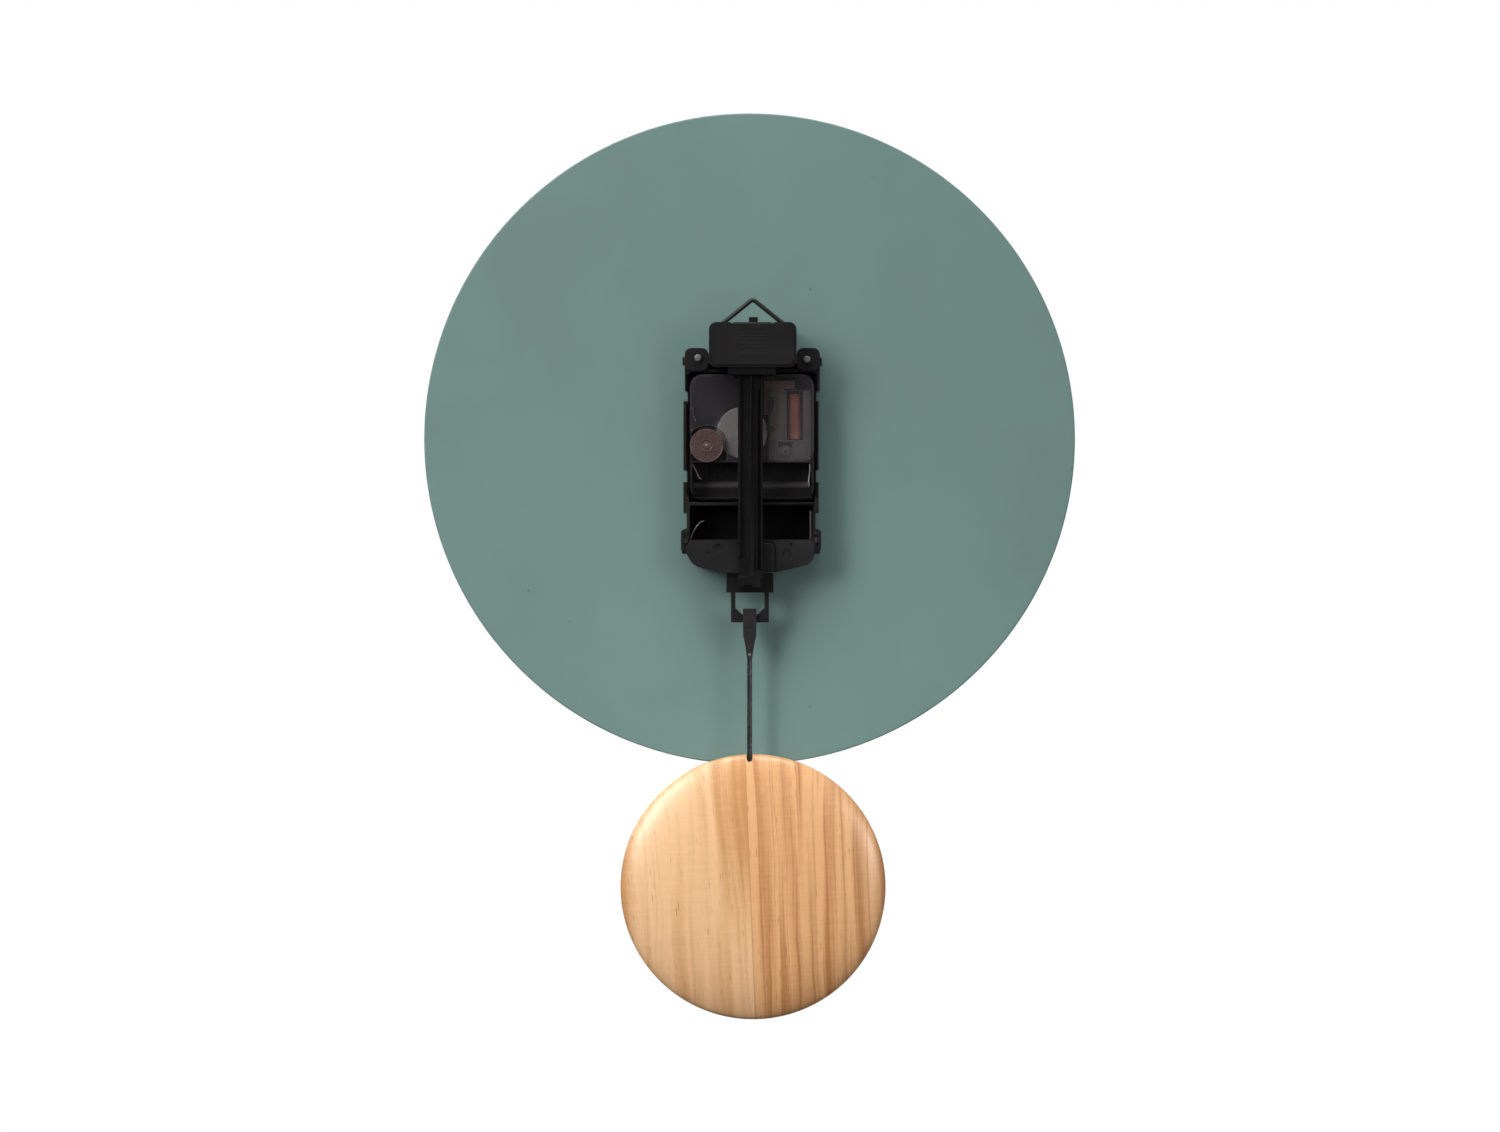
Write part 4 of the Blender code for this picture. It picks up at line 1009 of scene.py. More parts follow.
class Grower:
    """Geometry Nodes trees for what repeats or follows a path."""

    def __init__(self) -> None:
        """Start without trees."""
        self.trees: dict[str, bpy.types.NodeTree] = {}

    def _tree(self, name: str, sockets: dict[str, str]) -> tuple[Web, dict[str, bpy.types.NodeSocket]]:
        """New tree with named inputs and a geometry output.

        Args:
            name: Name of the tree.
            sockets: Kind of each input.

        Returns:
            The tree's web and its input sockets.
        """
        tree = bpy.data.node_groups.new(name, "GeometryNodeTree")
        for label, kind in sockets.items():
            tree.interface.new_socket(name=label, in_out="INPUT", socket_type="NodeSocket" + kind)
        tree.interface.new_socket(name="Geometry", in_out="OUTPUT", socket_type="NodeSocketGeometry")
        self.trees[name] = tree
        web = Web(tree)
        entry = web.add("NodeGroupInput")
        return web, {label: entry.outputs[label] for label in sockets}

    @staticmethod
    def _close(web: Web, geometry: bpy.types.NodeSocket, finish: bpy.types.NodeSocket) -> None:
        """Realize what the tree made and give it its finish."""
        real = web.add("GeometryNodeRealizeInstances", {0: geometry}).outputs[0]
        done = web.add("GeometryNodeSetMaterial", {"Geometry": real, "Material": finish}).outputs[0]
        web.add("NodeGroupOutput", {0: done})

    def _grow(self, name: str, values: dict[str, object],
              start: bpy.types.Mesh | None = None) -> Solid:
        """Run a tree on a mesh and keep the plain result.

        Args:
            name: Name of the tree.
            values: Value of each named input.
            start: Mesh that goes in, if the tree reads one.

        Returns:
            The plain result.
        """
        solid = Solid(start or bpy.data.meshes.new("seed"))
        modifier = solid.item.modifiers.new("Grow", "NODES")
        modifier.node_group = self.trees[name]
        for socket in self.trees[name].interface.items_tree:
            if socket.in_out == "INPUT" and socket.name in values:
                modifier[socket.identifier] = values[socket.name]
        return solid._bake()

    def spokes(self, finish: bpy.types.Material, count: int, radius: float, size: Sequence[float],
               tilt: float, seat: Sequence[float]) -> Solid:
        """Equal ribs set like the spokes of a wheel about an axis along y.

        Args:
            finish: Material of the ribs.
            count: How many.
            radius: From the axis to the middle of a rib.
            size: Length outwards, width and height of a rib.
            tilt: Turn of each rib about its own length, in degrees.
            seat: Where the axis is.

        Returns:
            The ribs as one shape.
        """
        if "spokes" not in self.trees:
            web, given = self._tree("spokes", {"Count": "Int", "Radius": "Float", "Size": "Vector",
                                               "Tilt": "Float", "Seat": "Vector", "Finish": "Material"})
            ring = web.add("GeometryNodeMeshCircle", {"Vertices": given["Count"],
                                                      "Radius": given["Radius"]}).outputs[0]
            turn = web.maths("MULTIPLY", web.add("GeometryNodeInputIndex").outputs[0],
                             web.maths("DIVIDE", math.tau, given["Count"]))
            rib = web.add("GeometryNodeMeshCube", {"Size": given["Size"]}).outputs[0]
            lean = web.add("ShaderNodeCombineXYZ", {0: given["Tilt"]}).outputs[0]
            tilted = web.add("GeometryNodeTransform", {"Geometry": rib, "Rotation": lean}).outputs[0]
            aim = web.add("ShaderNodeCombineXYZ", {2: turn}).outputs[0]
            copies = web.add("GeometryNodeInstanceOnPoints", {"Points": ring, "Instance": tilted,
                                                              "Rotation": aim}).outputs[0]
            upright = web.add("GeometryNodeTransform", {
                "Geometry": copies, "Translation": given["Seat"],
                "Rotation": (math.radians(90.0), 0.0, 0.0)}).outputs[0]
            self._close(web, upright, given["Finish"])
        return self._grow("spokes", {"Count": count, "Radius": radius, "Size": list(size),
                                     "Tilt": math.radians(tilt), "Seat": list(seat), "Finish": finish})

    def winding(self, finish: bpy.types.Material, turns: int, pitch: float, size: Point, corner: float,
                wire: float, seat: Sequence[float], lean: float) -> Solid:
        """Turns of wire round a rounded core, stacked along one direction.

        Args:
            finish: Material of the wire.
            turns: How many turns.
            pitch: From one turn to the next.
            size: Width and depth of the core.
            corner: Radius of the core's corners.
            wire: Radius of the wire.
            seat: Where the first turn lies.
            lean: Turn of the stack about x in degrees; 0 stacks upwards.

        Returns:
            The turns as one shape.
        """
        if "winding" not in self.trees:
            web, given = self._tree("winding", {"Turns": "Int", "Pitch": "Float", "Width": "Float",
                                                "Depth": "Float", "Corner": "Float", "Wire": "Float",
                                                "Seat": "Vector", "Lean": "Float",
                                                "Finish": "Material"})
            core = web.add("GeometryNodeCurvePrimitiveQuadrilateral",
                           {"Width": given["Width"], "Height": given["Depth"]}).outputs[0]
            soft = web.add("GeometryNodeFilletCurve", {"Curve": core, "Radius": given["Corner"],
                                                       "Limit Radius": True, "Count": 4},
                           mode="POLY").outputs[0]
            profile = web.add("GeometryNodeCurvePrimitiveCircle",
                              {"Resolution": 6, "Radius": given["Wire"]}).outputs[0]
            turn = web.add("GeometryNodeCurveToMesh",
                           {"Curve": soft, "Profile Curve": profile}).outputs[0]
            step = web.add("ShaderNodeCombineXYZ", {2: given["Pitch"]}).outputs[0]
            line = web.add("GeometryNodeMeshLine", {"Count": given["Turns"], "Offset": step},
                           mode="OFFSET").outputs[0]
            stack = web.add("GeometryNodeInstanceOnPoints",
                            {"Points": line, "Instance": turn}).outputs[0]
            lean_socket = web.add("ShaderNodeCombineXYZ", {0: given["Lean"]}).outputs[0]
            placed = web.add("GeometryNodeTransform", {"Geometry": stack, "Translation": given["Seat"],
                                                       "Rotation": lean_socket}).outputs[0]
            self._close(web, placed, given["Finish"])
        return self._grow("winding", {"Turns": turns, "Pitch": pitch, "Width": size[0],
                                      "Depth": size[1], "Corner": corner, "Wire": wire,
                                      "Seat": list(seat), "Lean": math.radians(lean),
                                      "Finish": finish})

    def sweep(self, finish: bpy.types.Material, route: Sequence[Sequence[float]], radius: float,
              fillet: float, sides: int = 20) -> Solid:
        """Round wire along a route with rounded bends.

        Args:
            finish: Material of the wire.
            route: Points in dial millimetres.
            radius: Radius of the wire.
            fillet: Radius of the bends along its middle.
            sides: Steps round the wire.

        Returns:
            The closed wire.
        """
        if "sweep" not in self.trees:
            web, given = self._tree("sweep", {"Route": "Geometry", "Radius": "Float", "Fillet": "Float",
                                              "Sides": "Int", "Finish": "Material"})
            curve = web.add("GeometryNodeMeshToCurve", {0: given["Route"]}).outputs[0]
            bent = web.add("GeometryNodeFilletCurve", {"Curve": curve, "Radius": given["Fillet"],
                                                       "Limit Radius": True, "Count": 8},
                           mode="POLY").outputs[0]
            profile = web.add("GeometryNodeCurvePrimitiveCircle",
                              {"Resolution": given["Sides"], "Radius": given["Radius"]}).outputs[0]
            wire = web.add("GeometryNodeCurveToMesh", {"Curve": bent, "Profile Curve": profile,
                                                       "Fill Caps": True}).outputs[0]
            self._close(web, wire, given["Finish"])
        mesh = bpy.data.meshes.new("route")
        mesh.from_pydata([tuple(p) for p in route], [(i, i + 1) for i in range(len(route) - 1)], [])
        return self._grow("sweep", {"Radius": radius, "Fillet": fillet, "Sides": sides,
                                    "Finish": finish}, mesh)

    def grid(self, finish: bpy.types.Material, counts: tuple[int, int], spacing: Point,
             size: Sequence[float], seat: Sequence[float]) -> Solid:
        """Equal small blocks in rows and columns on a plane across y.

        Args:
            finish: Material of the blocks.
            counts: Columns and rows.
            spacing: From one block to the next, across and up.
            size: Width, depth and height of a block.
            seat: Middle of the grid.

        Returns:
            The blocks as one shape.
        """
        if "grid" not in self.trees:
            web, given = self._tree("grid", {"Columns": "Int", "Rows": "Int", "Across": "Float",
                                             "Up": "Float", "Size": "Vector", "Seat": "Vector",
                                             "Finish": "Material"})
            width = web.maths("MULTIPLY", web.maths("SUBTRACT", given["Columns"], 1.0), given["Across"])
            height = web.maths("MULTIPLY", web.maths("SUBTRACT", given["Rows"], 1.0), given["Up"])
            sheet = web.add("GeometryNodeMeshGrid", {"Size X": width, "Size Y": height,
                                                     "Vertices X": given["Columns"],
                                                     "Vertices Y": given["Rows"]}).outputs[0]
            upright = web.add("GeometryNodeTransform", {
                "Geometry": sheet, "Translation": given["Seat"],
                "Rotation": (math.radians(90.0), 0.0, 0.0)}).outputs[0]
            brick = web.add("GeometryNodeMeshCube", {"Size": given["Size"]}).outputs[0]
            copies = web.add("GeometryNodeInstanceOnPoints", {"Points": upright,
                                                              "Instance": brick}).outputs[0]
            self._close(web, copies, given["Finish"])
        return self._grow("grid", {"Columns": counts[0], "Rows": counts[1], "Across": spacing[0],
                                   "Up": spacing[1], "Size": list(size), "Seat": list(seat),
                                   "Finish": finish})


class Workshop:
    """Brings shapes into the frame and gives them their finish."""

    def __init__(self) -> None:
        """Open with the palette and the tree grower."""
        bob = Span.of("bob_disc")
        self.palette = Palette(TO_METRES @ Vector((bob.x, (bob.y0 + bob.y1) / 2, bob.z)))
        self.grower = Grower()

    def place(self, solid: Solid, name: str, body: Body, slot: Slot, finish: str,
              replaces: Sequence[str] = (), sharp: float = 50.0) -> bpy.types.Object:
        """Name a shape, bring it to metres, dress it and let it ride.

        Args:
            solid: The shape in dial millimetres.
            name: Name of the piece.
            body: Body that carries it.
            slot: Record's slot that its finish stands for; not used.
            finish: Name of the finish in the palette.
            replaces: Frame nodes that it stands for.
            sharp: Edges sharper than this angle stay sharp, in degrees.

        Returns:
            The finished piece.
        """
        item = solid.item
        item.data.transform(TO_METRES)
        item.data.materials.clear()
        item.data.materials.append(self.palette.get(finish))
        item.data.polygons.foreach_set("material_index", [0] * len(item.data.polygons))
        item.data.shade_smooth()
        item.data.set_sharp_from_angle(angle=math.radians(sharp))
        weighted = item.modifiers.new("Even", "WEIGHTED_NORMAL")
        weighted.keep_sharp = True
        weighted.weight = 90
        solid._bake()
        item.name = item.data.name = name
        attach(item, body.value)
        if replaces:
            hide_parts(*replaces)
        log.info("%s rides on %s, %d faces", name, body.value, len(item.data.polygons))
        return item

    def dress(self, finish: str, *nodes: str) -> None:
        """Give frame nodes a finish and keep their shape."""
        for node in nodes:
            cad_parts[node].material_slots[0].material = self.palette.get(finish)
            log.info("%s keeps its shape with finish %s", node, finish)

    def refine(self, node: str, body: Body, slot: Slot, finish: str, width: float = 0.25,
               cuts: Sequence[Solid] = (), adds: Sequence[Solid] = (),
               extras: Sequence[Solid] = (), segments: int = 2,
               sharp: float = 50.0) -> bpy.types.Object:
        """Replace a frame node by a copy with cut details and rounded edges.

        Args:
            node: Frame node.
            body: Body that carries it.
            slot: Record's slot of the node.
            finish: Name of the finish.
            width: Width of the rounding.
            cuts: Shapes to take away.
            adds: Shapes to join before the edges are rounded.
            extras: Finished shapes to hold in the same mesh.
            segments: Steps across the rounding.
            sharp: Edges sharper than this angle stay sharp, in degrees.

        Returns:
            The finished piece.
        """
        solid = Solid.from_node(node)
        if adds:
            solid.join(*adds)
        if cuts:
            solid.cut(*cuts)
        solid.soften(width, segments)
        if extras:
            solid.gather(*extras)
        return self.place(solid, node + "_detailed", body, slot, finish, [node], sharp)


# ---------------------------------------------------------------- sub-assemblies


@dataclass
class DialBoard:
    """Painted round board with hour marks on its front."""

    shop: Workshop
    span: Span = field(default_factory=lambda: Span.of("dial_disc"))
    hole: float = 4.35
    edge: float = 0.7
    mark_radius: float = 133.0
    mark: tuple[float, float, float] = (13.0, 2.6, 0.5)
    long_mark: tuple[float, float, float] = (20.0, 3.6, 0.6)
    thread_pitch: float = 0.55

    def board(self) -> None:
        """Disc with softened edges."""
        radius = self.span.x1 - self.span.x
        front, back = self.span.y0, self.span.y1
        edge = self.edge
        rim = [(radius - edge + edge * math.sin(math.radians(a)),
                back - edge + edge * math.cos(math.radians(a))) for a in range(0, 91, 15)]
        under = [(r, front + back - y) for r, y in reversed(rim)]
        profile = [(self.hole, back), (40.0, back), (radius - 6.0, back), *rim, *under,
                   (radius - 6.0, front), (40.0, front), (self.hole, front)]
        solid = turned(profile, (self.span.x, self.span.z), 288, closed=True)
        self.shop.place(solid, "dial_board", Body.CASE, Slot.PAINT, "paint", ["dial_disc"])

    def marks(self) -> None:
        """Twelve short hour marks and four longer ones over them."""
        finish = self.shop.palette.get("hand")
        front = self.span.y0
        grower = self.shop.grower
        short = grower.spokes(finish, 12, self.mark_radius, self.mark, 0.0,
                              (0.0, front - self.mark[2] / 2, 0.0))
        quarter = grower.spokes(finish, 4, self.mark_radius - 3.0, self.long_mark, 0.0,
                                (0.0, front - self.long_mark[2] / 2, 0.0))
        self.shop.place(short.gather(quarter).soften(0.18), "hour_marks", Body.CASE, Slot.HANDS, "hand")

    def hardware(self) -> None:
        """Gasket, washer and nut of the movement's tube, and the tube's thread."""
        shop = self.shop
        shop.dress("rubber", "dial_gasket")
        shop.refine("shaft_washer", Body.CASE, Slot.BRASS, "brass", 0.15)
        shop.refine("shaft_nut", Body.CASE, Slot.BRASS, "brass", 0.35)
        tube = Span.of("module_case")
        turns = int((self.span.y0 - tube.y0) / self.thread_pitch)
        thread = shop.grower.winding(shop.palette.get("black"), turns, self.thread_pitch, (7.7, 7.7),
                                     3.84, 0.26, (0.0, tube.y0 + 0.4, 0.0), ALONG_Y)
        shop.place(thread, "tube_thread", Body.CASE, Slot.BLACK, "black")

    def build(self) -> None:
        """Make the board, its marks and the clamping hardware."""
        self.board()
        self.marks()
        self.hardware()


@dataclass
class Carrier:
    """Moulded frame that holds the movement, with its rails, latches, ears and rivets."""

    shop: Workshop
    span: Span = field(default_factory=lambda: Span.of("carrier_frame"))
    module: Span = field(default_factory=lambda: Span.of("module_case"))
    gap: float = 0.35
    ledge: float = 1.15
    ledge_depth: float = 3.4
    rim: float = 15.0
    rail: Point = (-27.8, 28.6)
    bay: Span = Span(-28.5, 27.2, 4.0, 14.6, -46.6, -31.1)
    shade_tray_wall: float = 0.15

    def cuts(self) -> list[Solid]:
        """Stepped inner edges of the side rails."""
        deep = self.rim - self.ledge_depth
        right, left = self.module.x1 + self.gap, self.module.x0 - self.gap
        return [block(x0, x1, deep, 20.0, *self.rail)
                for x0, x1 in ((right - 0.6, right + self.ledge), (left - self.ledge, left + 0.6))]

    def shade_tray(self) -> None:
        """Near-black matte tray in the drive cell's bay: painted shade that stands in for the shadow
        inside the bay.
        """
        bay, wall = self.bay, self.shade_tray_wall
        shell = block(bay.x0, bay.x1, bay.y0, bay.y1, bay.z0, bay.z1)
        hollow = prism(rounded(bay.x0 + wall, bay.x1 - wall, bay.z0 + wall, bay.z1 - wall, 0.8),
                       bay.y0 + 0.2, bay.y1 + 3.0)
        # the tray's near-black finish is painted shade for the inside of the bay
        self.shop.place(shell.cut(hollow), "drive_bay_shade_tray", Body.CASE, Slot.BLACK, "painted_shade_black")

    def latches(self) -> list[Solid]:
        """Clips on both sides of the drive cover, the nub over the cap and small snap hooks."""
        shapes: list[Solid] = []
        for side, edge in ((1, 31.3), (-1, -32.6)):
            inner = edge - side * 3.1
            x0, x1 = sorted((inner, edge))
            hook = prism(rounded(x0, x1, -51.8, -42.2, 1.0), 13.0, 15.9).soften(0.45, 3)
            slot = [block(min(inner, inner + side * 1.7), max(inner, inner + side * 1.7), 14.9, 17.0,
                          low, low + 1.5) for low in (-49.8, -46.0)]
            shapes.append(hook.cut(*slot))
            x0, x1 = sorted((edge - side * 0.4, edge - side * 2.6))
            shapes.append(prism(rounded(x0, x1, -53.2, -50.6, 0.7), 12.0, 15.4).soften(0.3))
        shapes.append(prism(rounded(-3.8, 0.3, 50.0, 54.9, 0.3, 3), 13.2, 16.2).soften(0.25))
        return shapes

    def build(self) -> None:
        """Make the frame and its rivets."""
        self.shop.refine("carrier_frame", Body.CASE, Slot.BLACK, "black", 0.28, self.cuts(),
                         extras=self.latches())
        self.shade_tray()
        for node in ("ear_rivet_a", "ear_rivet_b"):
            pin = Span.of(node)
            top = pin.y1
            profile = [(0.0, pin.y0), (1.0, pin.y0), (1.0, top - 1.1), (1.5, top - 1.1),
                       (1.65, top - 0.95), (1.65, top - 0.45), (1.5, top - 0.2), (1.1, top - 0.08),
                       (0.35, top - 0.08), (0.0, top - 0.2)]
            self.shop.place(turned(profile, (pin.x, pin.z), 40), node + "_head", Body.CASE, Slot.PIN,
                            "pin", [node])


@dataclass
class PivotCap:
    """Cap over the pivot with a stepped border, a plain relief panel and two small notches."""

    shop: Workshop
    span: Span = field(default_factory=lambda: Span.of("pivot_cover"))
    corner: float = 3.2
    border: float = 1.15
    step: float = 0.9
    notches: tuple[float, float] = (8.0, -10.6)
    panel_shift: float = 0.2

    def border_cut(self) -> Solid:
        """Frame-shaped cut that leaves a lower border round the face."""
        s, out = self.span, 2.0
        outer = prism(rounded(s.x0 - out, s.x1 + out, s.z0 - out, s.z1 + out, self.corner + out),
                      s.y1 - self.step, s.y1 + 1.0)
        inner = prism(rounded(s.x0 + self.border, s.x1 - self.border, s.z0 + self.border,
                              s.z1 - self.border * 0.6, self.corner - 0.7), s.y1 - 3.0, s.y1 + 2.0)
        return outer.cut(inner)

    def panel(self) -> Solid:
        """Sunk square in the middle of the face."""
        s = self.span
        middle = s.x - self.panel_shift
        return prism(rounded(middle - 6.5, middle + 6.5, s.z - 2.4, s.z + 6.8, 0.8), s.y1 - 0.2,
                     s.y1 + 1.0)

    def relief(self) -> list[Solid]:
        """Plain studs in the sunk square and plain ribs below it."""
        s = self.span
        middle = s.x - self.panel_shift
        finish = self.shop.palette.get("black")
        studs = self.shop.grower.grid(finish, (8, 5), (1.55, 1.7), (0.75, 0.40, 0.75),
                                      (middle, s.y1 - 0.17, s.z + 2.2))
        ribs = self.shop.grower.grid(finish, (11, 1), (1.15, 1.0), (0.42, 0.34, 2.3),
                                     (middle, s.y1 - 0.04, s.z - 4.6))
        return [studs.soften(0.10), ribs.soften(0.08)]

    def build(self) -> None:
        """Make the cap."""
        s = self.span
        notches = [block(x - 0.6, x + 0.6, s.y1 - 6.0, s.y1 + 1.0, s.z1 - 0.9, s.z1 + 1.0)
                   for x in self.notches]
        self.shop.refine("pivot_cover", Body.CASE, Slot.BLACK, "black", 0.40,
                         [self.border_cut(), self.panel(), *notches], extras=self.relief(), segments=3)
        self.shop.refine("pivot_pin", Body.CASE, Slot.PIN, "pin", 0.15)


@dataclass
class HangingLoop:
    """Black wire bent to a shallow V behind the cap."""

    shop: Workshop
    span: Span = field(default_factory=lambda: Span.of("hanging_loop"))
    radius: float = 1.0
    shoulder: float = 52.2
    spread: float = 13.1
    bend: float = 1.7
    foot: float = 44.2

    def build(self) -> None:
        """Sweep the wire along its route."""
        s = self.span
        middle, y = s.x, (s.y0 + s.y1) / 2
        peak = s.z1 - self.radius + 0.48
        out = self.spread + 1.7
        side = [(out, self.foot), (out, 50.9), (self.spread, self.shoulder)]
        route = [*((middle + x, y, z) for x, z in side), (middle, y, peak),
                 *((middle - x, y, z) for x, z in reversed(side))]
        wire = self.shop.grower.sweep(self.shop.palette.get("wire"), route, self.radius, self.bend)
        self.shop.place(wire, "loop_wire", Body.CASE, Slot.WIRE, "wire", ["hanging_loop"])


@dataclass
class QuartzModule:
    """Movement case with its smoked cover, motor, wheels, cell bay and setting knob."""

    shop: Workshop
    case: Span = field(default_factory=lambda: Span.of("module_case"))
    cover: Span = field(default_factory=lambda: Span.of("module_cover"))
    knob: Span = field(default_factory=lambda: Span.of("setting_knob"))
    bobbin: Span = field(default_factory=lambda: Span.of("coil_bobbin"))
    rotor: Span = field(default_factory=lambda: Span.of("rotor"))
    well: float = 9.1
    knob_radius: float = 7.6
    serrations: int = 48

    def make_case(self) -> None:
        """Case with softened edges, floor ribs in the bay and pips for the cell's ends."""
        finish = self.shop.palette.get("deep_black")
        ribs = self.shop.grower.grid(finish, (15, 1), (3.2, 1.0), (0.5, 0.3, 6.8), (-1.0, 4.1, -15.0))
        self.shop.place(ribs.soften(0.1), "bay_ribs", Body.CASE, Slot.BLACK, "deep_black")
        # the ledge strip is paler grey than the black case it belongs to: a painted highlight where
        # light catches the ledge
        swell = [(5.4, -23.4), (6.1, -22.7), (6.3, -21.9), (6.1, -21.0), (5.3, -20.1), (4.0, -19.7),
                 (3.9, -23.4)]
        edge = prism(swell, -27.9, 25.9, "X")
        self.shop.place(edge, "bay_ledge_highlight", Body.CASE, Slot.BLACK, "dark_grey", sharp=60.0)
        marks = [turned([(0.0, 5.75), (1.3, 5.75), (1.3, 6.0), (0.9, 6.0), (0.9, 5.8), (0.0, 5.8)],
                        (x, -24.4), 24) for x in (19.5, -15.6)]
        self.shop.place(marks[0].gather(marks[1]), "bay_rings", Body.CASE, Slot.BLACK, "black")
        self.shop.refine("module_case", Body.CASE, Slot.BLACK, "black", 0.32)

    def cover_cuts(self) -> list[Solid]:
        """Narrow slots in the cover."""
        y0, y1 = self.cover.y1 - 0.5, self.cover.y1 + 1.0
        routes = ([(18.8, 9.2), (16.4, 8.8), (14.0, 7.9)],
                  [(-7.6, 26.9), (-20.6, 26.9), (-22.0, 26.2), (-22.4, 24.6)])
        return [prism(ribbon(route, 0.6), y0, y1) for route in routes]

    def cover_details(self) -> list[Solid]:
        """Raised lip round the knob's well, the snap tabs and the latch on the left edge."""
        top = self.cover.y1
        centre = (self.knob.x, self.knob.z)
        start = math.degrees(math.acos((self.cover.x1 - 1.0 - centre[0]) / (self.well + 0.3)))
        lip_route = arc(centre, self.well + 0.3, start, 180.0, 24)
        lip_route.append((centre[0] - self.well - 0.3, self.cover.z0 + 0.2))
        lip = prism(ribbon(lip_route, 0.45), top - 0.3, top + 0.40).soften(0.14, 3, 50.0)
        outer = prism(ribbon(arc(centre, self.well + 3.6, 108.0, 172.0, 14), 0.35), top - 0.2,
                      top + 0.12)
        latch = prism(ribbon([(26.9, 13.6), (25.6, 12.6), (25.9, 10.4), (24.4, 6.6)], 0.7), top - 0.4,
                      top + 0.55).soften(0.22, 3)
        hook = prism(rounded(25.4, 27.0, 12.2, 14.0, 0.5, 3), top - 0.4, top + 0.8).soften(0.3, 3)
        tabs = [prism(rounded(x0, x0 + 3.8, 26.9, 28.5, 0.4, 3), top - 0.4, top + 0.5).soften(0.25)
                for x0 in (3.6, -10.2)]
        axle = turned([(0.9, top - 0.2), (0.9, top + 0.25), (1.35, top + 0.25), (1.35, top - 0.2)],
                      (self.rotor.x, self.rotor.z), 28, True)
        self.shop.place(lip.gather(latch, hook), "cover_lip", Body.CASE, Slot.SMOKED, "smoked_edge")
        return [outer, *tabs, axle]

    def make_cover(self) -> None:
        """Smoked cover."""
        self.shop.refine("module_cover", Body.CASE, Slot.SMOKED, "smoked", 0.42, self.cover_cuts(),
                         extras=self.cover_details(), segments=3)

    def make_motor(self) -> None:
        """Bobbin, copper turns, cradle, board and stator under the cover."""
        shop, b = self.shop, self.bobbin
        plates = [prism(rounded(b.x0, b.x1, b.y0, b.y1, 1.2, 3), z, z + 0.45, "Z").soften(0.1)
                  for z in (b.z0, b.z1 - 0.45)]
        core = prism(rounded(b.x - 2.0, b.x + 2.0, 6.6, 9.4, 0.4, 3), b.z0 + 0.3, b.z1 - 0.3, "Z")
        bore = prism([(b.x - 1.4, 7.2), (b.x + 1.4, 7.2), (b.x + 1.4, 8.8), (b.x - 1.4, 8.8)],
                     b.z0 - 1.0, b.z1 + 1.0, "Z")
        shop.place(core.cut(bore).gather(*plates), "bobbin_core", Body.CASE, Slot.BLACK, "black",
                   ["coil_bobbin"])
        pitch, wire = COIL_PITCH, COIL_WIRE
        turns = int((b.z1 - b.z0 - 1.3) / pitch)
        coil = Span.of("coil_winding")
        size = (coil.x1 - coil.x0 - 2 * wire, coil.y1 - coil.y0 - 2 * wire)
        copper = shop.grower.winding(shop.palette.get("copper"), turns, pitch, size, 2.4, wire,
                                     (b.x, (coil.y0 + coil.y1) / 2, b.z0 + 0.72), 0.0)
        shop.place(copper, "coil_turns", Body.CASE, Slot.COPPER, "copper", ["coil_winding"], 80.0)
        cradle = prism([(-8.7, -11.0), (-28.0, -11.0), (-28.0, 21.6), (-8.7, 21.6)], 12.5, 13.3)
        through = (10.0, 15.0)
        keyhole = [(-13.2, -2.0), (-19.4, -2.0), (-19.4, -4.6), *arc((-16.3, -6.5), 3.0, 125, 55, 8),
                   (-13.2, -4.6)]
        windows = [block(-24.4, -17.0, *through, -1.2, 21.3), block(-16.1, -9.4, *through, -1.2, 21.0),
                   prism(keyhole, *through)]
        boss = turned([(0.0, 12.9), (2.2, 12.9), (2.2, 14.1), (1.9, 14.4), (0.9, 14.4), (0.8, 13.6),
                       (0.0, 13.6)], (-16.4, -6.7), 32)
        pad = prism(rounded(-25.8, -19.8, -9.6, -2.4, 0.6, 3), 12.9, 13.9).soften(0.2)
        shop.place(cradle.cut(*windows).soften(0.15).gather(boss, pad), "motor_cradle", Body.CASE,
                   Slot.BLACK, "grey")
        hole = peg((self.rotor.x, self.rotor.z), 1.3, *through)
        board = block(-16.6, -9.0, 12.0, 12.45, -1.6, 21.3).cut(hole)
        shop.place(board, "motor_board", Body.CASE, Slot.BOARD, "motor_board")
        shop.refine("circuit_board", Body.CASE, Slot.BOARD, "board", 0.10)
        shop.dress("tin", "quartz_crystal", "stator")

    def make_knob(self) -> None:
        """Knob with radial serrations, a sunk ring and a bright centre pip."""
        shop, k = self.shop, self.knob
        centre, top = (k.x, k.z), k.y1
        body = Solid.from_node("setting_knob")
        trim = turned([(2.9, top - 0.95), (self.knob_radius + 1.0, top - 0.95),
                       (self.knob_radius + 1.0, top + 1.0), (2.9, top + 1.0)], centre, 64, True)
        groove = turned([(1.5, top - 0.55), (2.5, top - 0.55), (2.5, top + 1.0), (1.5, top + 1.0)],
                        centre, 48, True)
        body.cut(trim, groove).soften(0.10)
        inner, outer = 2.75, self.knob_radius - 0.12
        ribs = shop.grower.spokes(shop.palette.get("knob"), self.serrations, (inner + outer) / 2,
                                  (outer - inner, 0.42, 0.42), 45.0, (k.x, top - 0.93, k.z))
        rim = turned([(outer - 0.5, top - 1.4), (self.knob_radius, top - 1.4),
                      (self.knob_radius, top - 0.95), (outer - 0.1, top - 0.8),
                      (outer - 0.5, top - 0.95)], centre, 64, True)
        shop.place(body.gather(ribs, rim), "knob_serrated", Body.KNOB, Slot.KNOB, "knob",
                   ["setting_knob"], 40.0)
        pip = turned([(0.0, top - 0.4), (0.75, top - 0.4), (0.72, top + 0.05), (0.5, top + 0.2),
                      (0.0, top + 0.27)], centre, 24)
        shop.place(pip, "knob_pip", Body.KNOB, Slot.PIN, "pin")

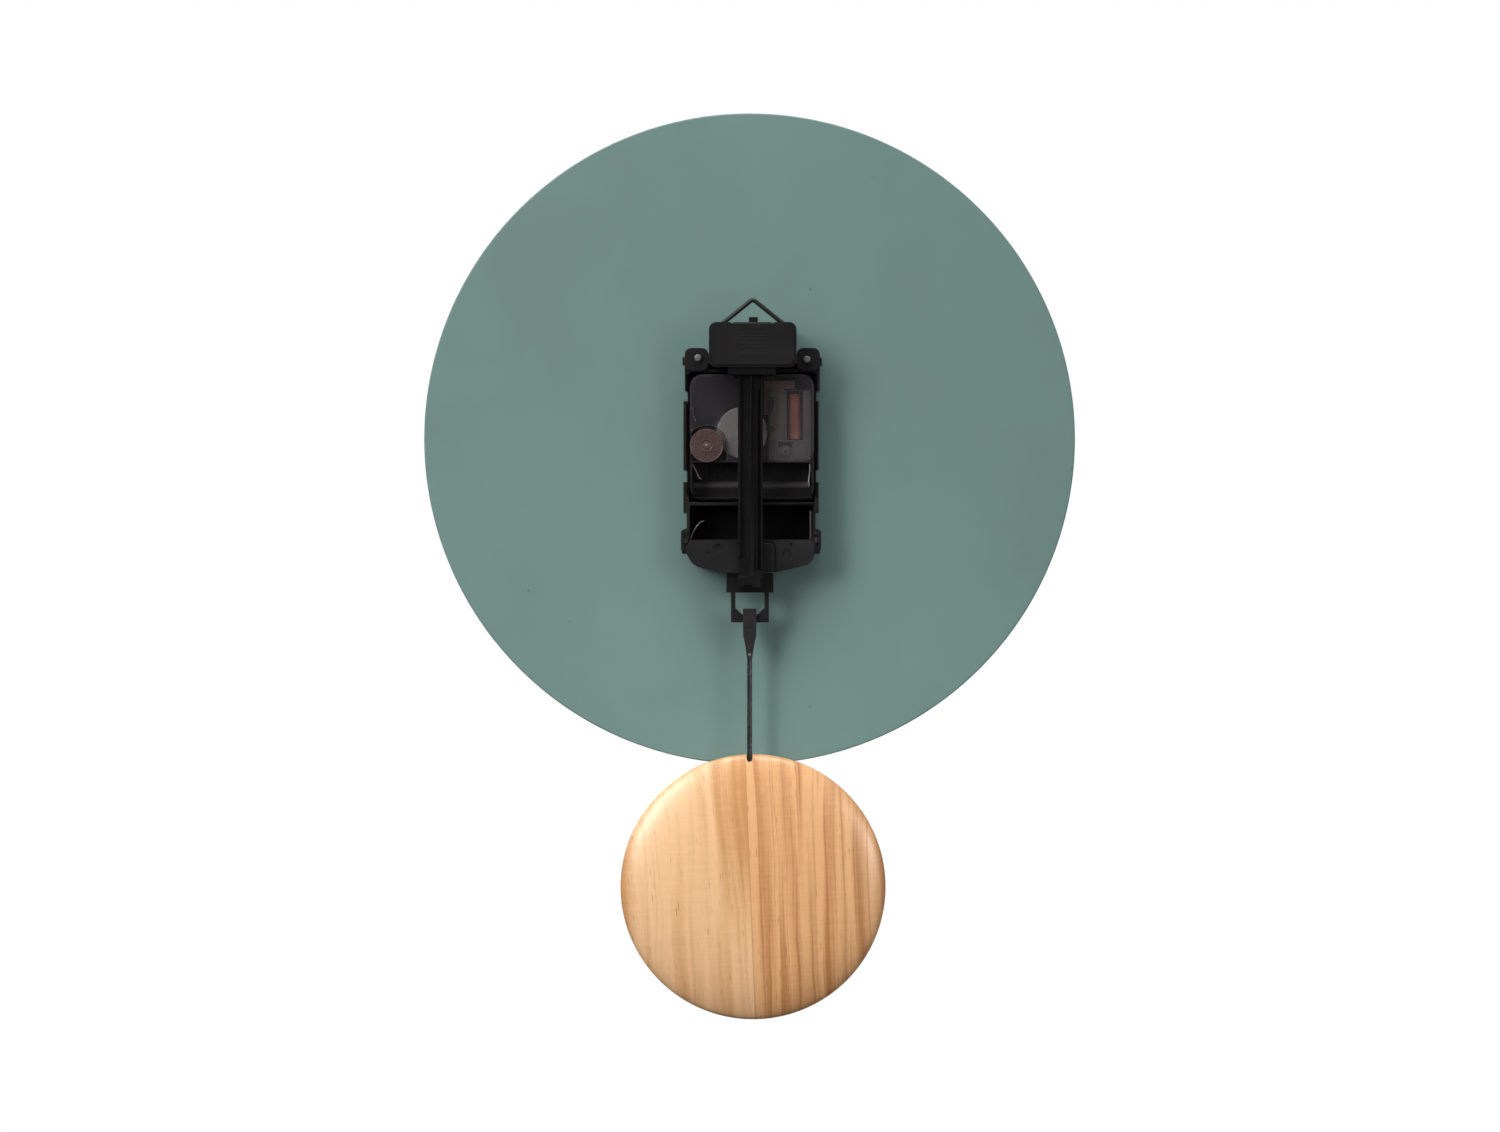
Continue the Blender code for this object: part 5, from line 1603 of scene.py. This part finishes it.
    def make_wheel(self) -> None:
        """Fine-toothed wheel behind the cover, with a thin web and a raised rim."""
        w = Span.of("intermediate_wheel")
        centre, radius = (w.x, w.z), (w.x1 - w.x0) / 2
        face = 11.8
        core = Solid.from_node("intermediate_wheel")
        trim = turned([(radius - 1.3, 10.9), (radius + 1.0, 10.9), (radius + 1.0, 12.0),
                       (radius - 1.3, 12.0)], centre, 96, True)
        core.cut(trim)
        rim = turned([(radius - 1.5, 11.1), (radius - 0.42, 11.1), (radius - 0.42, face),
                      (radius - 1.1, face + 0.12), (radius - 1.5, face)], centre, 120, True)
        teeth = self.shop.grower.spokes(self.shop.palette.get("white"), 120, radius - 0.28,
                                        (0.5, 0.6, 0.3), 0.0, (w.x, 11.45, w.z))
        self.shop.place(core.gather(rim, teeth), "fine_wheel", Body.INTERMEDIATE, Slot.WHITE, "white",
                        ["intermediate_wheel"])

    def make_contacts(self) -> None:
        """Bent leaves and plates that touch the cells."""
        shop = self.shop
        leaves = {
            "module_negative_contact": [(26.2, -11.9), (25.2, -13.6), (24.0, -16.2), (23.2, -18.2),
                                        (22.1, -18.9)],
            "drive_negative_contact": [(27.0, -46.3), (25.9, -43.2), (24.3, -40.6), (22.6, -38.6),
                                       (20.9, -37.9)]}
        for node, route in leaves.items():
            span = Span.of(node)
            leaf = prism(ribbon(route, 0.4), span.y0, span.y1)
            shop.place(leaf.soften(0.08), node + "_leaf", Body.CASE, Slot.CONTACT, "contact", [node])
        plate = Span.of("module_positive_contact")
        route = [(plate.x0 + 0.3, plate.z1 + 0.2), (plate.x0 + 0.35, plate.z1 - 3.4),
                 (plate.x1 + 0.2, plate.z1 - 6.4), (plate.x1 + 0.35, plate.z1 - 8.6),
                 (plate.x0 + 0.5, plate.z1 - 10.4)]
        leaf = prism(ribbon(route, 0.55), plate.y0, plate.y1)
        shop.place(leaf.soften(0.1), "positive_leaf", Body.CASE, Slot.CONTACT, "contact",
                   ["module_positive_contact"])
        shop.refine("drive_positive_contact", Body.CASE, Slot.CONTACT, "dull_steel", 0.08)

    def build(self) -> None:
        """Make the whole movement."""
        self.make_case()
        self.make_cover()
        self.make_motor()
        self.make_knob()
        self.make_contacts()
        self.make_wheel()
        self.shop.dress("white", "seconds_wheel", "centre_wheel", "hour_wheel")
        self.shop.dress("grey", "third_wheel", "minute_wheel", "idler_wheel")
        self.shop.dress("dark_grey", "middle_plate")
        self.shop.dress("tin", "rotor")


@dataclass
class PendulumDrive:
    """Unit below the cell that keeps the pendulum swinging."""

    shop: Workshop
    cover: Span = field(default_factory=lambda: Span.of("drive_cover"))
    coil: Span = field(default_factory=lambda: Span.of("drive_coil"))
    panel_edge: float = -11.7
    dimple: Point = (14.4, -50.5)
    hole: Point = (18.9, -52.6)
    eye: Point = (-19.1, -48.9)
    ring: Point = (-17.1, -53.3)

    def cuts(self) -> list[Solid]:
        """Dimple, holes, slot and ring groove of the cover, and the groove beside its panel."""
        top = self.cover.y1
        over = top + 2.0
        dimple = turned([(0.0, top - 0.8), (1.5, top - 0.8), (1.9, top - 0.5), (1.9, over), (0.0, over)],
                        self.dimple, 40)
        hole = peg(self.hole, 0.6, top - 0.9, over, 20)
        eye = peg(self.eye, 0.75, top - 1.0, over, 24)
        slot = block(-20.4, -17.5, top - 0.45, over, -48.4, -45.0)
        ring = turned([(1.45, top - 0.6), (2.1, top - 0.6), (2.1, over), (1.45, over)], self.ring,
                      40, True)
        keep = block(-20.0, -14.0, top - 2.0, over + 1.0, -56.5, -53.9)
        groove = prism(ribbon([(self.panel_edge, -62.5), (self.panel_edge, -49.4),
                               (self.panel_edge + 1.3, -48.0), (self.panel_edge + 7.0, -48.0)], 0.7),
                       top - 0.7, over)
        return [dimple, hole, slot, eye, ring.cut(keep), groove]

    def panel(self) -> Solid:
        """Slightly raised middle panel."""
        top = self.cover.y1
        outline = [(5.4, -61.4), (5.4, -48.3), (self.panel_edge + 1.5, -48.3),
                   (self.panel_edge + 0.4, -49.5), (self.panel_edge + 0.4, -61.2)]
        return prism(outline, top - 0.5, top + 0.38).soften(0.3, 3)

    def build(self) -> None:
        """Make the cover, the board and the coil."""
        shop = self.shop
        shop.refine("drive_cover", Body.CASE, Slot.BLACK, "cover_black", 0.38, self.cuts(),
                    extras=[self.panel()], segments=3)
        c = self.coil
        layers = [shop.grower.winding(shop.palette.get("copper"), 8, COIL_PITCH, (2 * r, 2 * r), r,
                                      COIL_WIRE, (c.x, c.y0 + 0.3, c.z), ALONG_Y)
                  for r in (1.9, 2.4, 2.9, 3.4, 3.9)]
        shop.place(layers[0].gather(*layers[1:]), "drive_coil_turns", Body.CASE, Slot.COPPER, "copper",
                   ["drive_coil"], 80.0)
        shop.refine("drive_board", Body.CASE, Slot.BOARD, "board", 0.10)


@dataclass
class Pendulum:
    """Ribbed arm, yoke, hook, rod and wooden bob."""

    shop: Workshop
    arm: Span = field(default_factory=lambda: Span.of("pendulum_arm"))
    hook: Span = field(default_factory=lambda: Span.of("rod_hook"))
    rod: Span = field(default_factory=lambda: Span.of("pendulum_rod"))
    rivet: Span = field(default_factory=lambda: Span.of("rod_rivet"))
    bob: Span = field(default_factory=lambda: Span.of("bob_disc"))
    rings: int = 48
    segments: int = 240
    fullness: float = 2.8

    def make_arm(self) -> None:
        """Arm with rounded ribs, and the yoke with its magnet."""
        ridge = prism([(-0.75, -11.5), (0.25, -11.5), (-0.35, 29.0), (-1.25, 29.0)], 20.0, 21.6)
        self.shop.refine("pendulum_arm", Body.PENDULUM, Slot.BLACK, "deep_black", 0.22, adds=[ridge],
                         segments=1, sharp=30.0)
        self.shop.refine("rod_yoke", Body.PENDULUM, Slot.BLACK, "black", 0.22)
        self.shop.refine("swing_magnet", Body.PENDULUM, Slot.CONTACT, "contact", 0.2)

    def make_hook(self) -> None:
        """Hook with a pale flat face above and a tapered tang below."""
        h = self.hook
        head = block(h.x0, h.x1, 9.9, h.y1, -86.6, h.z1)
        slot = block(-4.0, 4.0, 11.2, 13.6, -90.0, -80.5)
        tang = prism([(h.x0, -86.0), (h.x1, -86.0), (h.x1 - 0.1, -90.5), (1.9, -95.4), (1.25, h.z0),
                      (-1.35, h.z0), (-2.0, -95.4), (h.x0 + 0.1, -90.5)], 13.75, 14.45)
        spine = prism([(h.x0, -84.6), (h.x1, -84.6), (h.x1 - 0.1, -90.5), (1.4, -94.4), (-1.5, -94.4),
                       (h.x0 + 0.1, -90.5)], 9.9, 11.0)
        bridge = prism([(h.x0, -88.2), (h.x1, -88.2), (h.x1 - 0.1, -91.0), (h.x0 + 0.1, -91.0)],
                       10.4, 14.2)
        solid = head.cut(slot).join(tang, spine, bridge).soften(0.28, 3)
        self.shop.place(solid, "hook_body", Body.BOB, Slot.BLACK, "hook_black", ["rod_hook"])

    def make_rod(self) -> None:
        """Steel rod from the hook into the bob, and its rivet."""
        r = self.rod
        y = (r.y0 + r.y1) / 2
        wire = self.shop.grower.sweep(self.shop.palette.get("wire"),
                                      [(r.x, y, r.z1), (r.x, y, r.z0)], (r.x1 - r.x0) / 2, 0.0, 32)
        self.shop.place(wire, "rod_wire", Body.BOB, Slot.WIRE, "rod", ["pendulum_rod"], 60.0)
        pin = self.rivet
        head = turned([(0.0, pin.y0), (0.4, pin.y0), (0.4, pin.y1), (0.85, pin.y1), (0.8, pin.y1 + 0.35),
                       (0.45, pin.y1 + 0.6), (0.0, pin.y1 + 0.68)], (pin.x, pin.z), 24)
        self.shop.place(head, "rivet_head", Body.BOB, Slot.PIN, "pin", ["rod_rivet"])

    def make_bob(self) -> None:
        """Lens with a soft rim and a notch where the rod goes in."""
        b = self.bob
        middle = (b.y0 + b.y1) / 2
        half, radius = (b.y1 - b.y0) / 2, (b.x1 - b.x0) / 2
        profile = [(0.0, middle - half)]
        for step in range(1, self.rings + 1):
            share = math.sin(math.radians(90.0 * step / self.rings))
            depth = half * math.sqrt(max(1.0 - share ** self.fullness, 0.0))
            profile.append((radius * share, middle - depth))
        mirrored = [(r, 2 * middle - y) for r, y in reversed(profile[:-1])]
        lens = turned(profile + mirrored, (b.x, b.z), self.segments)
        top = b.z + radius
        notch = prism([(-1.45, top + 3.0), (-1.45, top - 2.0), (-0.9, top - 3.0), (0.0, top - 3.5),
                       (0.9, top - 3.0), (1.45, top - 2.0), (1.45, top + 3.0)], middle - 1.5, b.y1 + 2.0)
        bore = prism(circle((0.0, middle), 1.5, 24), self.rod.z0 - 0.5, top + 5.0, "Z")
        lens.cut(notch, bore)
        self.shop.place(lens, "bob_lens", Body.BOB, Slot.WOOD, "wood", ["bob_disc"], 40.0)

    def build(self) -> None:
        """Make everything that swings."""
        self.make_arm()
        self.make_hook()
        self.make_rod()
        self.make_bob()


@dataclass
class Hands:
    """Hands on the front of the dial and the nut that holds them."""

    shop: Workshop

    def build(self) -> None:
        """Round the edges of the hands and the nut."""
        for node, body, slot, finish in (
                ("hour_hand", Body.HOURS, Slot.HANDS, "hand"),
                ("minute_hand", Body.MINUTES, Slot.HANDS, "hand"),
                ("second_hand", Body.SECONDS, Slot.BRASS, "brass"),
                ("minute_hand_nut", Body.MINUTES, Slot.BRASS, "brass")):
            self.shop.refine(node, body, slot, finish, 0.14)


@dataclass(frozen=True)
class Lamp:
    """Soft rectangular light: metres, watts and degrees; it aims at a height on the clock."""

    name: str
    place: tuple[float, float, float]
    size: Point
    power: float
    colour: Colour = (1.0, 1.0, 1.0)
    aim_z: float = -50.0
    spread: float = 180.0

    def set_up(self) -> None:
        """Put the lamp up and aim it."""
        data = bpy.data.lights.new(self.name, "AREA")
        data.shape = "RECTANGLE"
        data.size, data.size_y = self.size
        data.energy = self.power
        data.color = self.colour
        data.spread = math.radians(self.spread)
        item = bpy.data.objects.new(self.name, data)
        bpy.context.scene.collection.objects.link(item)
        item.location = self.place
        aim = TO_METRES @ Vector((0.0, 0.0, self.aim_z)) - item.location
        item.rotation_euler = aim.to_track_quat("-Z", "Y").to_euler()


@dataclass
class Studio:
    """Pale floor, white surroundings, soft lights and the camera."""

    distance: float = 1600.0
    drop: float = 58.66
    aside: float = -0.2
    lens: float = 83.33
    floor_drop: float = 1.20
    floor_radius: float = 2.6
    ambient: float = 0.20
    bob_height: float = -206.0

    def camera(self) -> None:
        """Camera behind the clock, level, square to the dial."""
        data = bpy.data.cameras.new("camera")
        data.lens = self.lens
        data.sensor_width = 36.0
        data.clip_end = 50.0
        item = bpy.data.objects.new("camera", data)
        bpy.context.scene.collection.objects.link(item)
        item.location = TO_METRES @ Vector((self.aside, self.distance, -self.drop))
        item.rotation_euler = (math.radians(90.0), 0.0, math.radians(180.0))
        bpy.context.scene.camera = item

    def world(self) -> None:
        """White surroundings that light the clock more softly than they look."""
        world = bpy.data.worlds.new("studio")
        bpy.context.scene.world = world
        world.use_nodes = True
        web = Web(world.node_tree)
        for node in list(world.node_tree.nodes):
            world.node_tree.nodes.remove(node)
        seen = web.add("ShaderNodeBackground", {"Color": (1.0, 1.0, 1.0, 1.0), "Strength": 1.0})
        way = web.add("ShaderNodeSeparateXYZ", {0: web.add("ShaderNodeTexCoord").outputs["Generated"]})
        height = web.spread(way.outputs[2], -0.5, 0.5, 0.35 * self.ambient, 1.25 * self.ambient)
        soft = web.add("ShaderNodeBackground", {"Color": (1.0, 1.0, 1.0, 1.0), "Strength": height})
        path = web.add("ShaderNodeLightPath").outputs["Is Camera Ray"]
        mixed = web.add("ShaderNodeMixShader", {0: path, 1: soft.outputs[0], 2: seen.outputs[0]})
        web.add("ShaderNodeOutputWorld", {0: mixed.outputs[0]})

    def floor(self) -> None:
        """Plain pale round floor well below the clock."""
        low = Span.of("bob_disc").z0 * MM + ORIGIN.z - self.floor_drop + 0.3
        bm = bmesh.new()
        bmesh.ops.create_circle(bm, cap_ends=True, radius=self.floor_radius, segments=96)
        mesh = bpy.data.meshes.new("floor")
        bm.to_mesh(mesh)
        bm.free()
        mesh.transform(Matrix.Translation((0.0, 0.0, low)))
        item = bpy.data.objects.new("floor", mesh)
        bpy.context.scene.collection.objects.link(item)
        material, web, shader, where = new_material("floor_paper")
        paper = web.blend(web.noise(where, 3.0, 4.0), (0.80, 0.80, 0.80), (0.84, 0.84, 0.84))
        web.feed(shader, Base_Color=paper)
        set_plain(shader, Roughness=0.9, Emission_Strength=0.55)
        shader.inputs["Emission Color"].default_value = (1.0, 1.0, 1.0, 1.0)
        mesh.materials.append(material)
        item.visible_diffuse = item.visible_glossy = False

    def build(self) -> None:
        """Set up the studio."""
        bpy.context.scene.view_settings.view_transform = "Standard"
        self.camera()
        self.world()
        self.floor()
        aimed = (self.bob_height, 25.0)
        for lamp in (Lamp("key_left", (1.00, 1.00, 0.65), (0.7, 0.9), 17.0, (1.0, 0.99, 0.97)),
                     Lamp("strip_right", (-0.95, 1.20, 0.05), (0.22, 0.8), 3.0, (0.98, 0.99, 1.0)),
                     Lamp("top_strip", (0.05, 0.50, 1.25), (1.1, 0.4), 14.0),
                     Lamp("bob_left", (0.62, 0.68, 0.00), (0.2, 0.3), 0.075, (1.0, 0.98, 0.96), *aimed),
                     Lamp("bob_right", (-0.72, 0.60, -0.06), (0.12, 0.3), 0.045, (1.0, 1.0, 1.0),
                          *aimed),
                     Lamp("front_fill", (0.6, -1.5, 0.7), (1.2, 1.2), 30.0)):
            lamp.set_up()


def main() -> None:
    """Build every sub-assembly in order, then the studio."""
    logging.basicConfig(level=logging.INFO, format="%(name)s: %(message)s")
    shop = Workshop()
    for part in (DialBoard, Carrier, PivotCap, HangingLoop, QuartzModule, PendulumDrive, Pendulum,
                 Hands):
        log.info("building %s", part.__name__)
        part(shop).build()
    Studio().build()


if __name__ == "__main__":
    main()
